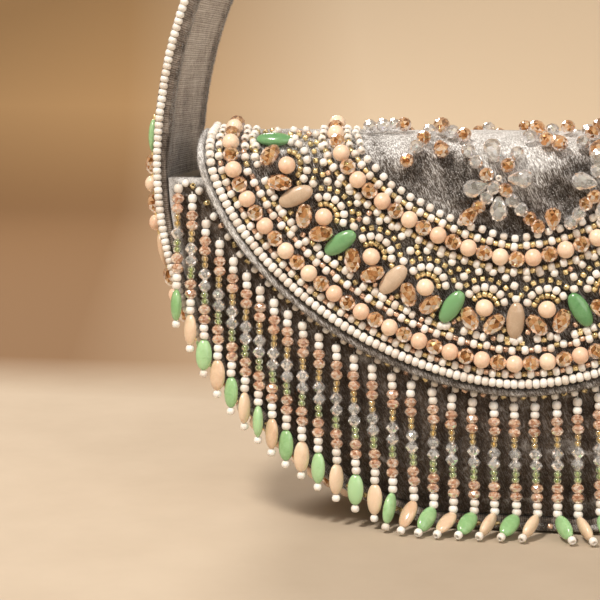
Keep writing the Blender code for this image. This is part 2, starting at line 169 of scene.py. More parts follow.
# The photograph's camera, fitted to the rim, the flap's edge and the rings of beads
CAMERA_AT = Vector((0.0108, -0.5094, 0.1435))
CAMERA_YAW = math.radians(-9.24)
CAMERA_PITCH = math.radians(8.34)
CAMERA_FOCAL_PX = 1564.0
PHOTO_SIZE = 600.0


# Materials


def new_material(name):
    material = bpy.data.materials.new(name)
    material.use_nodes = True
    tree = material.node_tree
    return material, tree, tree.nodes["Principled BSDF"]


def node(tree, kind, inputs=(), **settings):
    made = tree.nodes.new(kind)
    for key, value in settings.items():
        setattr(made, key, value)
    for key, value in dict(inputs).items():
        if isinstance(value, bpy.types.NodeSocket):
            tree.links.new(value, made.inputs[key])
        else:
            made.inputs[key].default_value = value
    return made


def ramp(tree, value, stops):
    """Colours along a value: stops are (place, colour)."""
    made = node(tree, "ShaderNodeValToRGB", {0: value})
    ends = made.color_ramp.elements
    while len(ends) < len(stops):
        ends.new(0.5)
    for element, (place, colour) in zip(ends, stops):
        element.position = place
        element.color = (*colour, 1)
    return made.outputs[0]


def stretch(tree, value, low, high, to_low, to_high):
    made = node(tree, "ShaderNodeMapRange", {0: value, 1: low, 2: high, 3: to_low, 4: to_high})
    return made.outputs[0]


def spread(tree, value, low, high):
    """Carries the range in which most of a noise lies to another one."""
    return stretch(tree, value, 0.3, 0.7, low, high)


def maths(tree, operation, *values):
    return node(tree, "ShaderNodeMath", dict(enumerate(values)), operation=operation).outputs[0]


def object_place(tree):
    return node(tree, "ShaderNodeTexCoord").outputs["Object"]


def scaled_place(tree, scale):
    return node(tree, "ShaderNodeMapping", {"Vector": object_place(tree), "Scale": scale}).outputs[0]


def attribute_of(tree, name):
    return node(tree, "ShaderNodeAttribute", attribute_name=name).outputs["Fac"]


def blend_colours(tree, share, first, second, mode="MIX"):
    made = node(tree, "ShaderNodeMix", data_type="RGBA", blend_type=mode)
    for socket, value in ((0, share), (6, first), (7, second)):
        if isinstance(value, bpy.types.NodeSocket):
            tree.links.new(value, made.inputs[socket])
        elif isinstance(value, tuple):
            made.inputs[socket].default_value = (*value, 1)
        else:
            made.inputs[socket].default_value = value
    return made.outputs[2]


def noise_of(tree, place, scale, detail=3.0, roughness=0.55, distortion=0.0):
    made = node(tree, "ShaderNodeTexNoise", {"Vector": place, "Scale": scale, "Detail": detail,
                                             "Roughness": roughness, "Distortion": distortion})
    return made.outputs[0]


def bump(tree, shader, heights):
    """Chains bumps of (height, strength, distance in metres) into the shader's normal."""
    normal = None
    for height, strength, distance in heights:
        made = node(tree, "ShaderNodeBump", {"Height": height, "Strength": strength, "Distance": distance})
        if normal is not None:
            tree.links.new(normal, made.inputs["Normal"])
        normal = made.outputs[0]
    tree.links.new(normal, shader.inputs["Normal"])


def set_inputs(shader, **values):
    for key, value in values.items():
        shader.inputs[key.replace("_", " ")].default_value = value


def finish_shader(tree, shader, colour, roughness, bumps, **values):
    """Links colour and roughness, sets the other inputs and chains the bumps."""
    tree.links.new(colour, shader.inputs["Base Color"])
    tree.links.new(roughness, shader.inputs["Roughness"])
    set_inputs(shader, **values)
    bump(tree, shader, bumps)


def strokes(tree, place):
    """Slanting strokes of crushed pile."""
    squeezed = node(tree, "ShaderNodeMapping", {
        0: place, "Rotation": (0.0, math.radians(-26), 0.0), "Scale": (0.00030, 0.0008, 0.0017),
    }, vector_type="TEXTURE")
    return noise_of(tree, squeezed.outputs[0], 1.0, 2.0, 0.6, 0.3)


def ribs(tree, place):
    """Fine ribs across the band, whose place is measured round its loop."""
    axes = node(tree, "ShaderNodeSeparateXYZ", {0: place}).outputs
    turn = maths(tree, "ARCTAN2", axes[0], maths(tree, "SUBTRACT", CENTRE_Z, axes[2]))
    along = node(tree, "ShaderNodeCombineXYZ", {0: turn, 1: axes[1]}).outputs[0]
    squeezed = node(tree, "ShaderNodeMapping", {0: along, "Scale": (1.0, 0.25, 1.0)}).outputs[0]
    wave = node(tree, "ShaderNodeTexWave", {
        "Vector": squeezed, "Scale": 52.0, "Distortion": 5.0, "Detail": 3.0, "Detail Scale": 2.5,
    })
    return stretch(tree, wave.outputs["Fac"], 0.0, 1.0, 0.40, 0.66)


def velvet(name, dark, mid, light, shine=1.0, fibres=strokes):
    """Pile with a crushed nap. A point attribute gives the nap's random tone together with painted light and
    shade, paler where folds stand up and catch the light.
    """
    material, tree, shader = new_material(name)
    place = object_place(tree)
    crush = noise_of(tree, place, 95.0, 4.0, 0.6, 1.2)
    patch = noise_of(tree, place, 330.0, 3.0, 0.6, 0.8)
    tuft = noise_of(tree, place, 2300.0, 2.0, 0.7)
    fibre = fibres(tree, place)
    # The point attribute brings the nap's random tone and its painted light and shade.
    nap_and_light_share = maths(tree, "MULTIPLY", attribute_of(tree, "crest"), 0.66)
    soft = maths(tree, "ADD", spread(tree, crush, 0.0, 0.30), nap_and_light_share)
    nap = maths(tree, "ADD", spread(tree, patch, -0.14, 0.14), soft)
    colour = ramp(tree, nap, ((0.0, dark), (0.42, mid), (0.95, light)))
    grain = stretch(tree, tuft, 0.35, 0.68, 0.0, 1.0)
    speck = ramp(tree, grain, ((0.0, (0.45,) * 3), (0.5, (0.95,) * 3), (1.0, (1.0,) * 3)))
    colour = blend_colours(tree, 0.8, colour, speck, "MULTIPLY")
    # Painted shade between the fibre strokes, and painted highlights: glints along the strokes and on single
    # tufts.
    shade = ramp(tree, fibre, ((0.40, (1.0 - 0.38 * min(shine, 1.0),) * 3), (0.52, (1.0,) * 3)))
    colour = blend_colours(tree, 1.0, colour, shade, "MULTIPLY")
    glint = stretch(tree, fibre, 0.50, 0.60, 0.0, 0.9 * shine)
    lit = maths(tree, "MULTIPLY", glint, stretch(tree, nap, 0.12, 0.8, 0.10, 1.0))
    lit = maths(tree, "MAXIMUM", lit, stretch(tree, tuft, 0.60, 0.70, 0.0, 0.55 * shine))
    colour = blend_colours(tree, lit, colour, tuple(min(0.92, 1.5 * c) for c in light))
    bumps = ((crush, 0.5, 0.0008), (patch, 0.6, 0.0005), (fibre, 0.8, 0.0003), (tuft, 0.8, 0.00025))
    finish_shader(tree, shader, colour, spread(tree, tuft, 0.55, 0.9), bumps, Sheen_Weight=0.6,
                  Sheen_Roughness=0.3, Sheen_Tint=(0.9, 0.88, 0.86, 1), Specular_IOR_Level=0.3)
    return material


def glossy_bead(name, low, high, rough=(0.16, 0.34), coat=0.4, grain=900.0, subsurface=0.0):
    """Opaque glass or resin: each bead has its own tone, with faint clouding and scuffs."""
    material, tree, shader = new_material(name)
    place = object_place(tree)
    cloud = noise_of(tree, place, grain, 3.0, 0.6, 0.6)
    scuff = noise_of(tree, place, 2400.0, 2.0, 0.6)
    tone = maths(tree, "ADD", spread(tree, cloud, -0.25, 0.25), attribute_of(tree, "bead"))
    colour = ramp(tree, tone, ((0.0, low), (0.75, high)))
    bumps = ((scuff, 0.12, 0.0001), (cloud, 0.2, 0.0001))
    finish_shader(tree, shader, colour, spread(tree, scuff, *rough), bumps,
                  Coat_Weight=coat, Coat_Roughness=0.12, IOR=1.5)
    if subsurface:
        set_inputs(shader, Subsurface_Weight=subsurface, Subsurface_Scale=0.002,
                   Subsurface_Radius=(1.0, 0.7, 0.5))
    return material


def cut_glass(name, stops, see_through, film=0.0):
    """Faceted glass: the attribute "facet" gives each facet a tone, painted reflections of its surroundings and
    painted light.
    """
    material, tree, shader = new_material(name)
    swirl = noise_of(tree, object_place(tree), 1100.0, 2.0, 0.5, 1.5)
    tone = maths(tree, "ADD", attribute_of(tree, "facet"), spread(tree, swirl, -0.12, 0.12))
    tint = ramp(tree, attribute_of(tree, "bead"), ((0.0, (0.82,) * 3), (1.0, (1.0,) * 3)))
    colour = blend_colours(tree, 1.0, ramp(tree, tone, stops), tint, "MULTIPLY")
    finish_shader(tree, shader, colour, spread(tree, swirl, 0.03, 0.1), ((swirl, 0.1, 0.0001),),
                  Transmission_Weight=see_through, IOR=1.52, Coat_Weight=0.5, Coat_Roughness=0.03)
    if film:
        set_inputs(shader, Thin_Film_Thickness=film, Thin_Film_IOR=1.33)
    return material


def metal_lined(name, dark, light):
    """Small glass beads with a metal lining: dark edges and bright glints, painted shade and painted highlights
    from facet to facet.
    """
    material, tree, shader = new_material(name)
    streak = noise_of(tree, object_place(tree), 1900.0, 2.0, 0.6, 1.0)
    tone = maths(tree, "ADD", spread(tree, streak, 0.0, 0.6), attribute_of(tree, "facet"))
    colour = ramp(tree, tone, ((0.15, dark), (1.2, light)))
    finish_shader(tree, shader, colour, spread(tree, streak, 0.12, 0.36), ((streak, 0.3, 0.0001),),
                  Metallic=0.55, Coat_Weight=0.8, Coat_Roughness=0.05)
    return material


def grained(name, grain, dark, light, rough, strength, depth, **values):
    """A plain material with one grain, which a function draws."""
    material, tree, shader = new_material(name)
    value = grain(tree)
    colour = ramp(tree, value, ((0.3, dark), (0.7, light)))
    finish_shader(tree, shader, colour, spread(tree, value, *rough), ((value, strength, depth),), **values)
    return material


def satin():
    """Lining cloth with a fine weave over soft folds."""
    material, tree, shader = new_material("taupe_satin")
    fold = noise_of(tree, object_place(tree), 60.0, 3.0, 0.55, 0.6)
    thread = noise_of(tree, scaled_place(tree, (7000.0, 7000.0, 1600.0)), 1.0, 2.0)
    colour = ramp(tree, fold, ((0.3, (0.10, 0.082, 0.066)), (0.7, (0.24, 0.20, 0.17))))
    bumps = ((fold, 0.4, 0.0008), (thread, 0.4, 0.0001))
    finish_shader(tree, shader, colour, spread(tree, thread, 0.32, 0.55), bumps, Sheen_Weight=0.3)
    return material


VELVET = velvet("taupe_velvet", (0.026, 0.018, 0.013), (0.135, 0.110, 0.092), (0.78, 0.755, 0.735), 1.1)
# A darker copy of the velvet for the front panel, in shade under the flap and fringe: painted shade.
SHADED_PANEL_VELVET = velvet("shaded_panel_velvet", (0.030, 0.019, 0.012), (0.095, 0.068, 0.048), (0.90, 0.88, 0.86), 0.30)
BAND_VELVET = velvet("band_velvet", (0.040, 0.028, 0.021), (0.325, 0.255, 0.208), (0.72, 0.645, 0.58),
                     0.6, ribs)
EDGE_VELVET = velvet("edge_velvet", (0.060, 0.044, 0.034), (0.23, 0.195, 0.168), (0.95, 0.93, 0.91))
SATIN = satin()
WHITE = glossy_bead("white_seed_glass", (0.74, 0.66, 0.58), (0.95, 0.91, 0.85), (0.22, 0.38), 0.25,
                    subsurface=0.12)
PEACH = glossy_bead("peach_resin", (0.86, 0.57, 0.40), (0.94, 0.72, 0.54), (0.22, 0.34), 0.3, 420.0, 0.15)
GREEN = glossy_bead("jade_resin", (0.085, 0.25, 0.09), (0.175, 0.385, 0.17), (0.16, 0.28), 0.4, 420.0, 0.2)
PALE_GREEN = glossy_bead("pale_jade_resin", (0.25, 0.47, 0.20), (0.42, 0.66, 0.35), (0.16, 0.28), 0.4,
                         420.0, 0.3)
BEIGE = glossy_bead("beige_resin", (0.50, 0.365, 0.25), (0.66, 0.51, 0.375), (0.18, 0.3), 0.4, 420.0, 0.2)
PALE_BEIGE = glossy_bead("pale_beige_resin", (0.66, 0.455, 0.30), (0.82, 0.625, 0.445), (0.16, 0.3), 0.4,
                         420.0, 0.3)
AMBER = cut_glass("champagne_glass", (
    (0.0, (0.17, 0.06, 0.02)), (0.25, (0.50, 0.20, 0.07)), (0.55, (0.84, 0.43, 0.18)),
    (0.8, (0.96, 0.66, 0.40)), (1.0, (1.0, 0.95, 0.88)),
), 0.5, 420.0)
ROSE = cut_glass("rose_glass", (
    (0.0, (0.50, 0.23, 0.13)), (0.3, (0.80, 0.45, 0.28)), (0.65, (0.96, 0.68, 0.49)), (1.0, (1.0, 0.91, 0.80)),
), 0.46)
CLEAR = cut_glass("clear_glass", (
    (0.0, (0.42, 0.40, 0.38)), (0.25, (0.82, 0.81, 0.80)), (0.55, (0.97, 0.97, 0.97)), (1.0, (1.0, 1.0, 1.0)),
), 0.72, 380.0)
GOLD = metal_lined("gold_lined_glass", (0.13, 0.085, 0.022), (0.98, 0.80, 0.42))
COPPER = metal_lined("copper_lined_glass", (0.20, 0.085, 0.045), (0.96, 0.68, 0.50))
GREEN_SHELL = cut_glass("green_seed_glass", ((0.0, (0.30, 0.48, 0.16)), (1.0, (0.78, 0.90, 0.55))), 0.8)
AMBER_SHELL = cut_glass("amber_seed_glass", ((0.0, (0.66, 0.42, 0.10)), (1.0, (1.0, 0.86, 0.50))), 0.8)
BRIGHT_CORE = glossy_bead("bright_lining", (0.86, 0.70, 0.38), (1.0, 0.95, 0.78), (0.15, 0.3), 0.5)
THREAD = grained("cotton_thread", lambda tree: noise_of(tree, object_place(tree), 6000.0, 2.0),
                 (0.45, 0.40, 0.34), (0.80, 0.76, 0.70), (0.5, 0.8), 0.5, 0.0001)
BOARD = grained("core_board", lambda tree: noise_of(tree, object_place(tree), 500.0, 4.0, 0.6),
                (0.34, 0.30, 0.24), (0.56, 0.51, 0.43), (0.7, 0.92), 0.5, 0.0003)
STEEL = grained("snap_steel", lambda tree: noise_of(tree, scaled_place(tree, (300.0, 300.0, 9000.0)), 1.0, 3.0),
                (0.50, 0.49, 0.47), (0.74, 0.73, 0.71), (0.22, 0.42), 0.25, 0.0001, Metallic=1.0)


# Unit forms of beads, each with its hole along Z


class Form:
    """A closed unit form with its faces turned outward."""

    def __init__(self, points, faces, smooth):
        self.points = np.array(points, dtype=float)
        volume = 0.0
        for face in faces:
            for second, third in zip(face[1:], face[2:]):
                a, b, c = self.points[[face[0], second, third]]
                volume += np.dot(a, np.cross(b, c))
        if volume < 0:
            faces = [tuple(reversed(face)) for face in faces]
        self.sizes = np.array([len(face) for face in faces], dtype=np.int32)
        self.loops = np.array([k for face in faces for k in face], dtype=np.int32)
        self.middles = np.array([self.points[list(face)].mean(axis=0) for face in faces])
        self.smooth = smooth


def grid_faces(height, width, wrap_rows, wrap_across):
    """Faces between the points of a grid; a wrapped side joins the opposite one."""
    faces = []
    for i in range(height if wrap_rows else height - 1):
        k = (i + 1) % height
        for j in range(width if wrap_across else width - 1):
            m = (j + 1) % width
            faces.append((i * width + j, i * width + m, k * width + m, k * width + j))
    return faces


def cap_faces(height, width):
    """The two faces that close a tube at its ends."""
    return [tuple(reversed(range(width))), tuple((height - 1) * width + j for j in range(width))]


def rings(profile, sides, twist=0.0):
    """Rings of points with given radius and height, every other one turned by a share of a step."""
    points = []
    for i, (radius, height) in enumerate(profile):
        for j in range(sides):
            turn = math.tau * (j + twist * (i % 2)) / sides
            points.append((radius * math.cos(turn), radius * math.sin(turn), height))
    return points


def lathe(profile, sides, closed=False):
    """A turned form, shaded smooth. A closed one joins its last ring to its first."""
    faces = grid_faces(len(profile), sides, closed, True)
    if not closed:
        faces += cap_faces(len(profile), sides)
    return Form(rings(profile, sides), faces, True)


def gem(profile, sides):
    """A cut form: rings turned half a step against each other and joined by triangles, shaded flat."""
    faces = []
    for i in range(len(profile) - 1):
        a, b = i * sides, (i + 1) * sides
        for j in range(sides):
            m = (j + 1) % sides
            if i % 2 == 0:
                faces += [(a + j, a + m, b + j), (a + m, b + m, b + j)]
            else:
                faces += [(a + j, b + m, b + j), (a + j, a + m, b + m)]
    return Form(rings(profile, sides, 0.5), faces + cap_faces(len(profile), sides), False)


def arc_profile(count, start_deg, power=1.0):
    profile = []
    for i in range(count + 1):
        turn = math.radians(-90 + start_deg + (180 - 2 * start_deg) * i / count)
        profile.append((math.cos(turn) ** power, math.sin(turn) / math.sin(math.radians(90 - start_deg))))
    return profile


SEED = lathe([(0.32, -0.66), (0.54, -1.0), (0.84, -0.72), (0.99, -0.22), (0.99, 0.22), (0.84, 0.72),
              (0.54, 1.0), (0.32, 0.66)], 12, closed=True)
TINY = lathe([(0.42, -0.85), (0.62, -1.0), (0.97, -0.78), (0.97, 0.78), (0.62, 1.0), (0.42, 0.85)], 8,
             closed=True)
BALL = lathe(arc_profile(12, 12), 20)
OVAL = lathe(arc_profile(12, 13, 0.92), 20)
CORE = lathe([(1.0, -1.0), (1.0, 1.0)], 8)
RONDELLE = gem([(0.42, -1.0), (0.80, -0.66), (1.0, -0.12), (1.0, 0.12), (0.80, 0.66), (0.42, 1.0)], 9)
BICONE = gem([(0.40, -1.0), (0.78, -0.54), (1.0, 0.0), (0.78, 0.54), (0.40, 1.0)], 8)
BARREL = gem([(0.42, -1.0), (0.76, -0.74), (0.96, -0.30), (1.0, 0.10), (0.90, 0.52), (0.66, 0.82),
              (0.40, 1.0)], 9)
TEARDROP = gem([(0.24, -1.0), (0.58, -0.62), (0.86, -0.16), (1.0, 0.22), (0.95, 0.54), (0.70, 0.84),
                (0.30, 1.0)], 10)


class Batch:
    """Collects copies of the unit forms and turns them into one mesh piece."""

    def __init__(self, name, body, slot_name):
        self.name, self.body, self.slot_name = name, body, slot_name
        self.points, self.loops, self.sizes, self.kinds = [], [], [], []
        self.smooth, self.beads, self.facets = [], [], []
        self.count = 0
        self.materials = []

    def add(self, form, material, centre, along, up, radius_up, radius_side, half_length):
        """One bead: its hole runs along one direction, and its radius is given upward and sideways."""
        along = Vector(along).normalized()
        side = along.cross(Vector(up)).normalized()
        up = side.cross(along)
        turn = np.array([side * radius_side, up * radius_up, along * half_length])
        self.points.append(form.points @ turn + np.array(centre))
        if material not in self.materials:
            self.materials.append(material)
        faces = len(form.sizes)
        self.loops.append(form.loops + self.count)
        self.sizes.append(form.sizes)
        self.kinds.append(np.full(faces, self.materials.index(material), dtype=np.int32))
        self.smooth.append(np.full(faces, form.smooth, dtype=bool))
        self.beads.append(np.full(faces, rng.random(), dtype=np.float32))
        # Light that passes through cut glass gathers on its lower side, so facets that face down are paler
        middles = form.middles @ turn
        fall = -middles[:, 2] / np.maximum(np.linalg.norm(middles, axis=1), 1e-9)
        # Each facet also gets a random tone, which stands for painted reflections.
        painted_reflection = facet_chance.uniform(-0.5, 0.5, faces)
        self.facets.append(np.clip(0.5 + 0.22 * fall + painted_reflection, 0, 1).astype(np.float32))
        self.count += len(form.points)

    def add_round(self, form, material, centre, along, up, radius, half_length):
        self.add(form, material, centre, along, up, radius, radius, half_length)

    def build(self, *replaced):
        sizes = np.concatenate(self.sizes)
        starts = np.concatenate(([0], np.cumsum(sizes)[:-1]))
        mesh = raw_mesh(self.name, np.concatenate(self.points), np.concatenate(self.loops), starts)
        mesh.polygons.foreach_set("material_index", np.concatenate(self.kinds))
        mesh.polygons.foreach_set("use_smooth", np.concatenate(self.smooth))
        for name, values in (("bead", self.beads), ("facet", self.facets)):
            mesh.attributes.new(name, "FLOAT", "FACE").data.foreach_set("value", np.concatenate(values))
        mesh.update(calc_edges=True)
        for material in self.materials:
            mesh.materials.append(material)
        return place_piece(mesh, self.body, self.slot_name, replaced)


def raw_mesh(name, points, loops, starts):
    """A mesh from its points, the corners of all faces in turn, and the places where faces start."""
    mesh = bpy.data.meshes.new(name)
    mesh.vertices.add(len(points))
    mesh.vertices.foreach_set("co", points.astype(np.float32).ravel())
    mesh.loops.add(len(loops))
    mesh.loops.foreach_set("vertex_index", loops.astype(np.int32))
    mesh.polygons.add(len(starts))
    mesh.polygons.foreach_set("loop_start", starts.astype(np.int32))
    return mesh


def place_piece(mesh, body, slot_name, replaced=()):
    item = bpy.data.objects.new(mesh.name, mesh)
    bpy.context.scene.collection.objects.link(item)
    if body:
        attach(item, body)
    if replaced:
        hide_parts(*replaced)
    return item


def sheet_mesh(name, rows, material, wrap_rows=False, wrap_across=False, caps=False, nap_and_light_rows=None):
    """A smooth mesh from a grid of points. rows[i][j]; the nap values are per point, for the velvet's nap and
    its painted light and shade.
    """
    points = np.array([[tuple(p) for p in row] for row in rows], dtype=np.float32).reshape(-1, 3)
    faces = grid_faces(len(rows), len(rows[0]), wrap_rows, wrap_across)
    if caps:
        faces += cap_faces(len(rows), len(rows[0]))
    mesh = bpy.data.meshes.new(name)
    mesh.from_pydata(points.tolist(), [], faces)
    if wrap_across and (caps or wrap_rows):
        solid = bmesh.new()
        solid.from_mesh(mesh)
        bmesh.ops.recalc_face_normals(solid, faces=solid.faces)
        solid.to_mesh(mesh)
        solid.free()
    values = np.zeros(len(points)) if nap_and_light_rows is None else np.array(nap_and_light_rows).ravel()
    mesh.attributes.new("crest", "FLOAT", "POINT").data.foreach_set("value", values.astype(np.float32))
    mesh.update(calc_edges=True)
    mesh.shade_smooth()
    mesh.materials.append(material)
    return mesh


def clamp(value, low=0.0, high=1.0):
    return max(low, min(high, value))


def ease(value):
    value = clamp(value)
    return value * value * (3 - 2 * value)


def ridged(place):
    """Folded noise from 0 to 1, whose ridges are narrow lines."""
    return 1 - min(1.0, 2.2 * abs(noise.noise(place)))


# The band's loop, the flap's section and the fringe, as in the CAD source


def loop_point(turn, inset, y):
    rise = HANDLE_RISE if math.sin(turn) > 0 else BAND_RADIUS
    x = (BAND_RADIUS - inset) * math.cos(turn)
    z = CENTRE_Z + (rise - inset) * math.sin(turn)
    return Vector((x, y, max(z, inset)))


def flap_section(drop):
    if drop >= SHOULDER_DROP:
        return FLAP_FACE, Vector((0, -1, 0))
    height = 1 - drop / SHOULDER_DROP
    reach = math.sqrt(max(1 - height**2, 0))
    facing = Vector((0, -reach / SHOULDER_REACH, height / SHOULDER_DROP)).normalized()
    return FOLD_FORWARD + SHOULDER_REACH * reach, facing


def flap_point(x, drop, lift):
    forward, facing = flap_section(max(drop, 0))
    return Vector((x, -forward, RIDGE_Z - max(drop, 0))) + facing * lift, facing


def flap_half_width(drop):
    share = clamp(drop / FLAP_LENGTH)
    return FLAP_HALF_WIDTH * (1 - share**FLAP_EDGE_POWER) ** (1 / FLAP_EDGE_POWER)


def flap_edge_drop(x, offset):
    share = min(abs(x) / (FLAP_HALF_WIDTH + offset), 1)
    return (FLAP_LENGTH + offset) * (1 - share**FLAP_EDGE_POWER) ** (1 / FLAP_EDGE_POWER)


def row_path(inset, end_drop=0.0006):
    """(x, drop) pairs along a row inside the flap's edge, from left to right."""
    power = FLAP_EDGE_POWER - ROW_POWER_LOSS * clamp(inset / INNER_RING_INSET, 0, 1.3)
    width, length = FLAP_HALF_WIDTH - inset, FLAP_LENGTH - inset
    path = []
    for i in range(601):
        turn = math.pi * i / 600
        drop = length * max(math.sin(turn), 0) ** (2 / power)
        if drop >= end_drop:
            path.append((-math.copysign(width * abs(math.cos(turn)) ** (2 / power), math.cos(turn)), drop))
    return path


def row_stations(path, lift):
    """Points, facings and distances along a row."""
    made = [flap_point(x, drop, lift) for x, drop in path]
    far = [0.0]
    for (first, _), (second, _) in zip(made, made[1:]):
        far.append(far[-1] + (second - first).length)
    return [p for p, _ in made], [f for _, f in made], far


def station_at(stations, distance):
    """Point, facing and direction at a distance along a row."""
    points, facings, far = stations
    i = int(np.clip(np.searchsorted(far, distance) - 1, 0, len(far) - 2))
    share = (distance - far[i]) / max(far[i + 1] - far[i], 1e-9)
    facing = facings[i].lerp(facings[i + 1], share).normalized()
    return points[i].lerp(points[i + 1], share), facing, (points[i + 1] - points[i]).normalized()


def edge_share(x, drop):
    """How far out a place of the flap lies: 0 in the middle of the ridge, 1 on the edge."""
    share = (abs(x) / FLAP_HALF_WIDTH) ** FLAP_EDGE_POWER + (drop / FLAP_LENGTH) ** FLAP_EDGE_POWER
    return share ** (1 / FLAP_EDGE_POWER)


def swell(x, drop):
    """How far the flap's velvet stands above its smooth face: gathers inside the beads, soft pads elsewhere."""
    if drop < 0:
        return 0.0
    inside = ease((0.40 - edge_share(x, drop)) / 0.12)
    place = Vector((x * 52 + 3.1, drop * 95, 0.7))
    fold = ridged(place) * 0.75 + ridged(place * 2.3 + Vector((5, 1, 0))) * 0.25
    start = ease(drop / 0.006)
    field = inside * start * (0.0021 * (fold - 0.25))
    soft = 0.0004 * noise.noise(Vector((x * 160, drop * 160, 2.0))) * start
    return field + soft


# Velvet pieces


def rim_roll(y):
    """The swell of the velvet beside the band's rims, from 0 to 1."""
    return math.exp(-((abs(y) - BAND_DEPTH / 2 + RIM_ROLL_WIDTH) / RIM_ROLL_WIDTH) ** 2)


def band_section():
    """Places round the band's cross-section: y, inset, crown of the inner face, and part of the section."""
    half = BAND_DEPTH / 2
    section = [(-half + 2 * half * j / 14, 0.0, 0.0, "outer") for j in range(15)]
    for j in range(1, 6):
        a = math.pi * j / 6
        section.append((half + RIM_BULGE * math.sin(a), BAND_THICKNESS * (1 - math.cos(a)) / 2, 0.0, "rim"))
    for j in range(25):
        section.append((half - 2 * half * j / 24, BAND_THICKNESS, 1 - (1 - 2 * j / 24) ** 2, "inner"))
    for j in range(1, 6):
        a = math.pi * j / 6
        section.append((-half - RIM_BULGE * math.sin(a), BAND_THICKNESS * (1 + math.cos(a)) / 2, 0.0, "rim"))
    return section


def make_band():
    """Outer velvet, rolled rims and inner velvet of the band as one padded sleeve round its core."""
    section = band_section()
    rows, nap_and_light_rows = [], []
    for i in range(BAND_STEPS):
        turn = math.tau * i / BAND_STEPS
        along = turn * BAND_RADIUS
        high = ease(math.sin(turn) / 0.10) if math.sin(turn) > 0 else 0.0
        row, crest = [], []
        for y, inset, crown, part in section:
            if part != "inner":
                row.append(loop_point(turn, inset, y))
                # The rims get a darker nap than the outer face: painted shade.
                crest.append(0.16 if part == "rim" else 0.34)
                continue
            ripple = noise.noise(Vector((along * 620, y * 45, 1.0))) * 0.6
            ripple += noise.noise(Vector((along * 150, y * 60, 4.0))) * 0.9
            more = high * (RIM_ROLL_HEIGHT * rim_roll(y) + 0.00022 * ripple * crown + 0.0002)
            p = loop_point(turn, inset + more, y)
            # Painted shade and light: the pile is darker beside the rims and paler between them and on the
            # ripples that rise, and all of it darkens towards the mouth.
            strip = ease((abs(y) - BAND_DEPTH / 2 + 0.0095) / 0.002)
            tone = 0.68 + 0.16 * ripple - 0.50 * strip
            tone -= 0.38 * (1 - ease((p.z - CENTRE_Z + 0.002) / 0.045))
            row.append(p)
            crest.append(clamp(tone))
        rows.append(row)
        nap_and_light_rows.append(crest)
    mesh = sheet_mesh("band_velvet_sleeve", rows, BAND_VELVET, wrap_rows=True, wrap_across=True, nap_and_light_rows=nap_and_light_rows)
    place_piece(mesh, "bag", "taupe_velvet", ("band_cover", "band_facing"))


def moon_loop(inset, top, scale=1.0):
    """A closed half-moon outline shrunk towards its middle: round the arc, then back along the mouth."""
    start = math.asin((CENTRE_Z - top) / (BAND_RADIUS - inset))
    points = []
    for i in range(MOON_ARC_STEPS):
        turn = -start - (math.pi - 2 * start) * i / MOON_ARC_STEPS
        points.append(loop_point(turn, inset, 0))
    left, right = loop_point(-math.pi + start, inset, 0), loop_point(-start, inset, 0)
    points += [left.lerp(right, i / MOON_MOUTH_STEPS) for i in range(MOON_MOUTH_STEPS)]
    middle = Vector((0, 0, CENTRE_Z - MOON_MIDDLE_DROP))
    return [middle + (p - middle) * scale for p in points]


def painted_top_light(z):
    """How much painted light a height gets, from 0 to 1: the nap is paler on the bag's upper part."""
    return ease((z - 0.055) / 0.03)


def panel_face(p, side, scale):
    """How far a place of a panel stands out of its flat face, and its nap: paler where the crushed velvet stands
    up and along the mouth on the upper part, painted light.
    """
    edge = 1 - scale
    crush = ridged(Vector((p.x * 26 + side * 7, p.z * 120, 0.3))) * 0.6
    crush += ridged(Vector((p.x * 60, p.z * 240 + 9, 1.3 + side))) * 0.4
    depth, dark, pale = (0.0006, 0.05, 0.40) if side < 0 else (0.0010, 0.12, 0.48)
    out = PANEL_FACE + 0.0005 * ease(edge / 0.08) + depth * (crush - 0.5) * ease(edge / 0.06)
    rim = min(MOUTH_Z - p.z, BAND_RADIUS - PANEL_INSET - math.hypot(p.x, p.z - CENTRE_Z))
    # Paler where the crushed velvet stands up: painted sheen.
    nap = clamp(dark + pale * crush)
    # Pale along the mouth on the upper part: painted light.
    nap += 0.85 * (1 - ease((rim - 0.0008) / 0.0024)) * painted_top_light(p.z)
    return out, clamp(nap)


def make_panel(name, side):
    """A padded half-moon with crushed velvet; its edge is rolled and stitched into the band."""
    rows, nap_and_light_rows = [], []

    def add(inset, y, scale, part):
        row, crest = [], []
        for p in moon_loop(PANEL_INSET + inset, MOUTH_Z - inset, scale):
            out, nap = y, 0.35
            if part == "face":
                out, nap = panel_face(p, side, scale)
            elif part == "edge":
                # The rolled edge is paler higher up: painted light.
                nap = 0.2 + 0.8 * painted_top_light(p.z)
            row.append(Vector((p.x, side * out, p.z)))
            crest.append(nap)
        rows.append(row)
        nap_and_light_rows.append(crest)

    for scale in (0.25, 0.6, 0.9):
        add(0, PANEL_BACK, scale, "back")
    add(0.0003, PANEL_BACK, 1.0, "back")
    for i in range(6):
        a = math.pi / 2 * i / 5
        add(PANEL_ROLL * (1 - math.cos(a)), PANEL_FACE - PANEL_ROLL * (1 - math.sin(a)), 1.0, "edge")
    for i in range(1, PANEL_RINGS):
        add(PANEL_ROLL, PANEL_FACE, 1 - i / PANEL_RINGS, "face")
    # The front panel takes the darker copy of the velvet: painted shade.
    material = SHADED_PANEL_VELVET if side < 0 else VELVET
    mesh = sheet_mesh(name + "_velvet", rows, material, wrap_across=True, caps=True, nap_and_light_rows=nap_and_light_rows)
    item = place_piece(mesh, "bag", "taupe_velvet", (name,))
    if side > 0:
        billow(item, list(range(len(rows[0]) * 14)), 4.0, 0.0036)


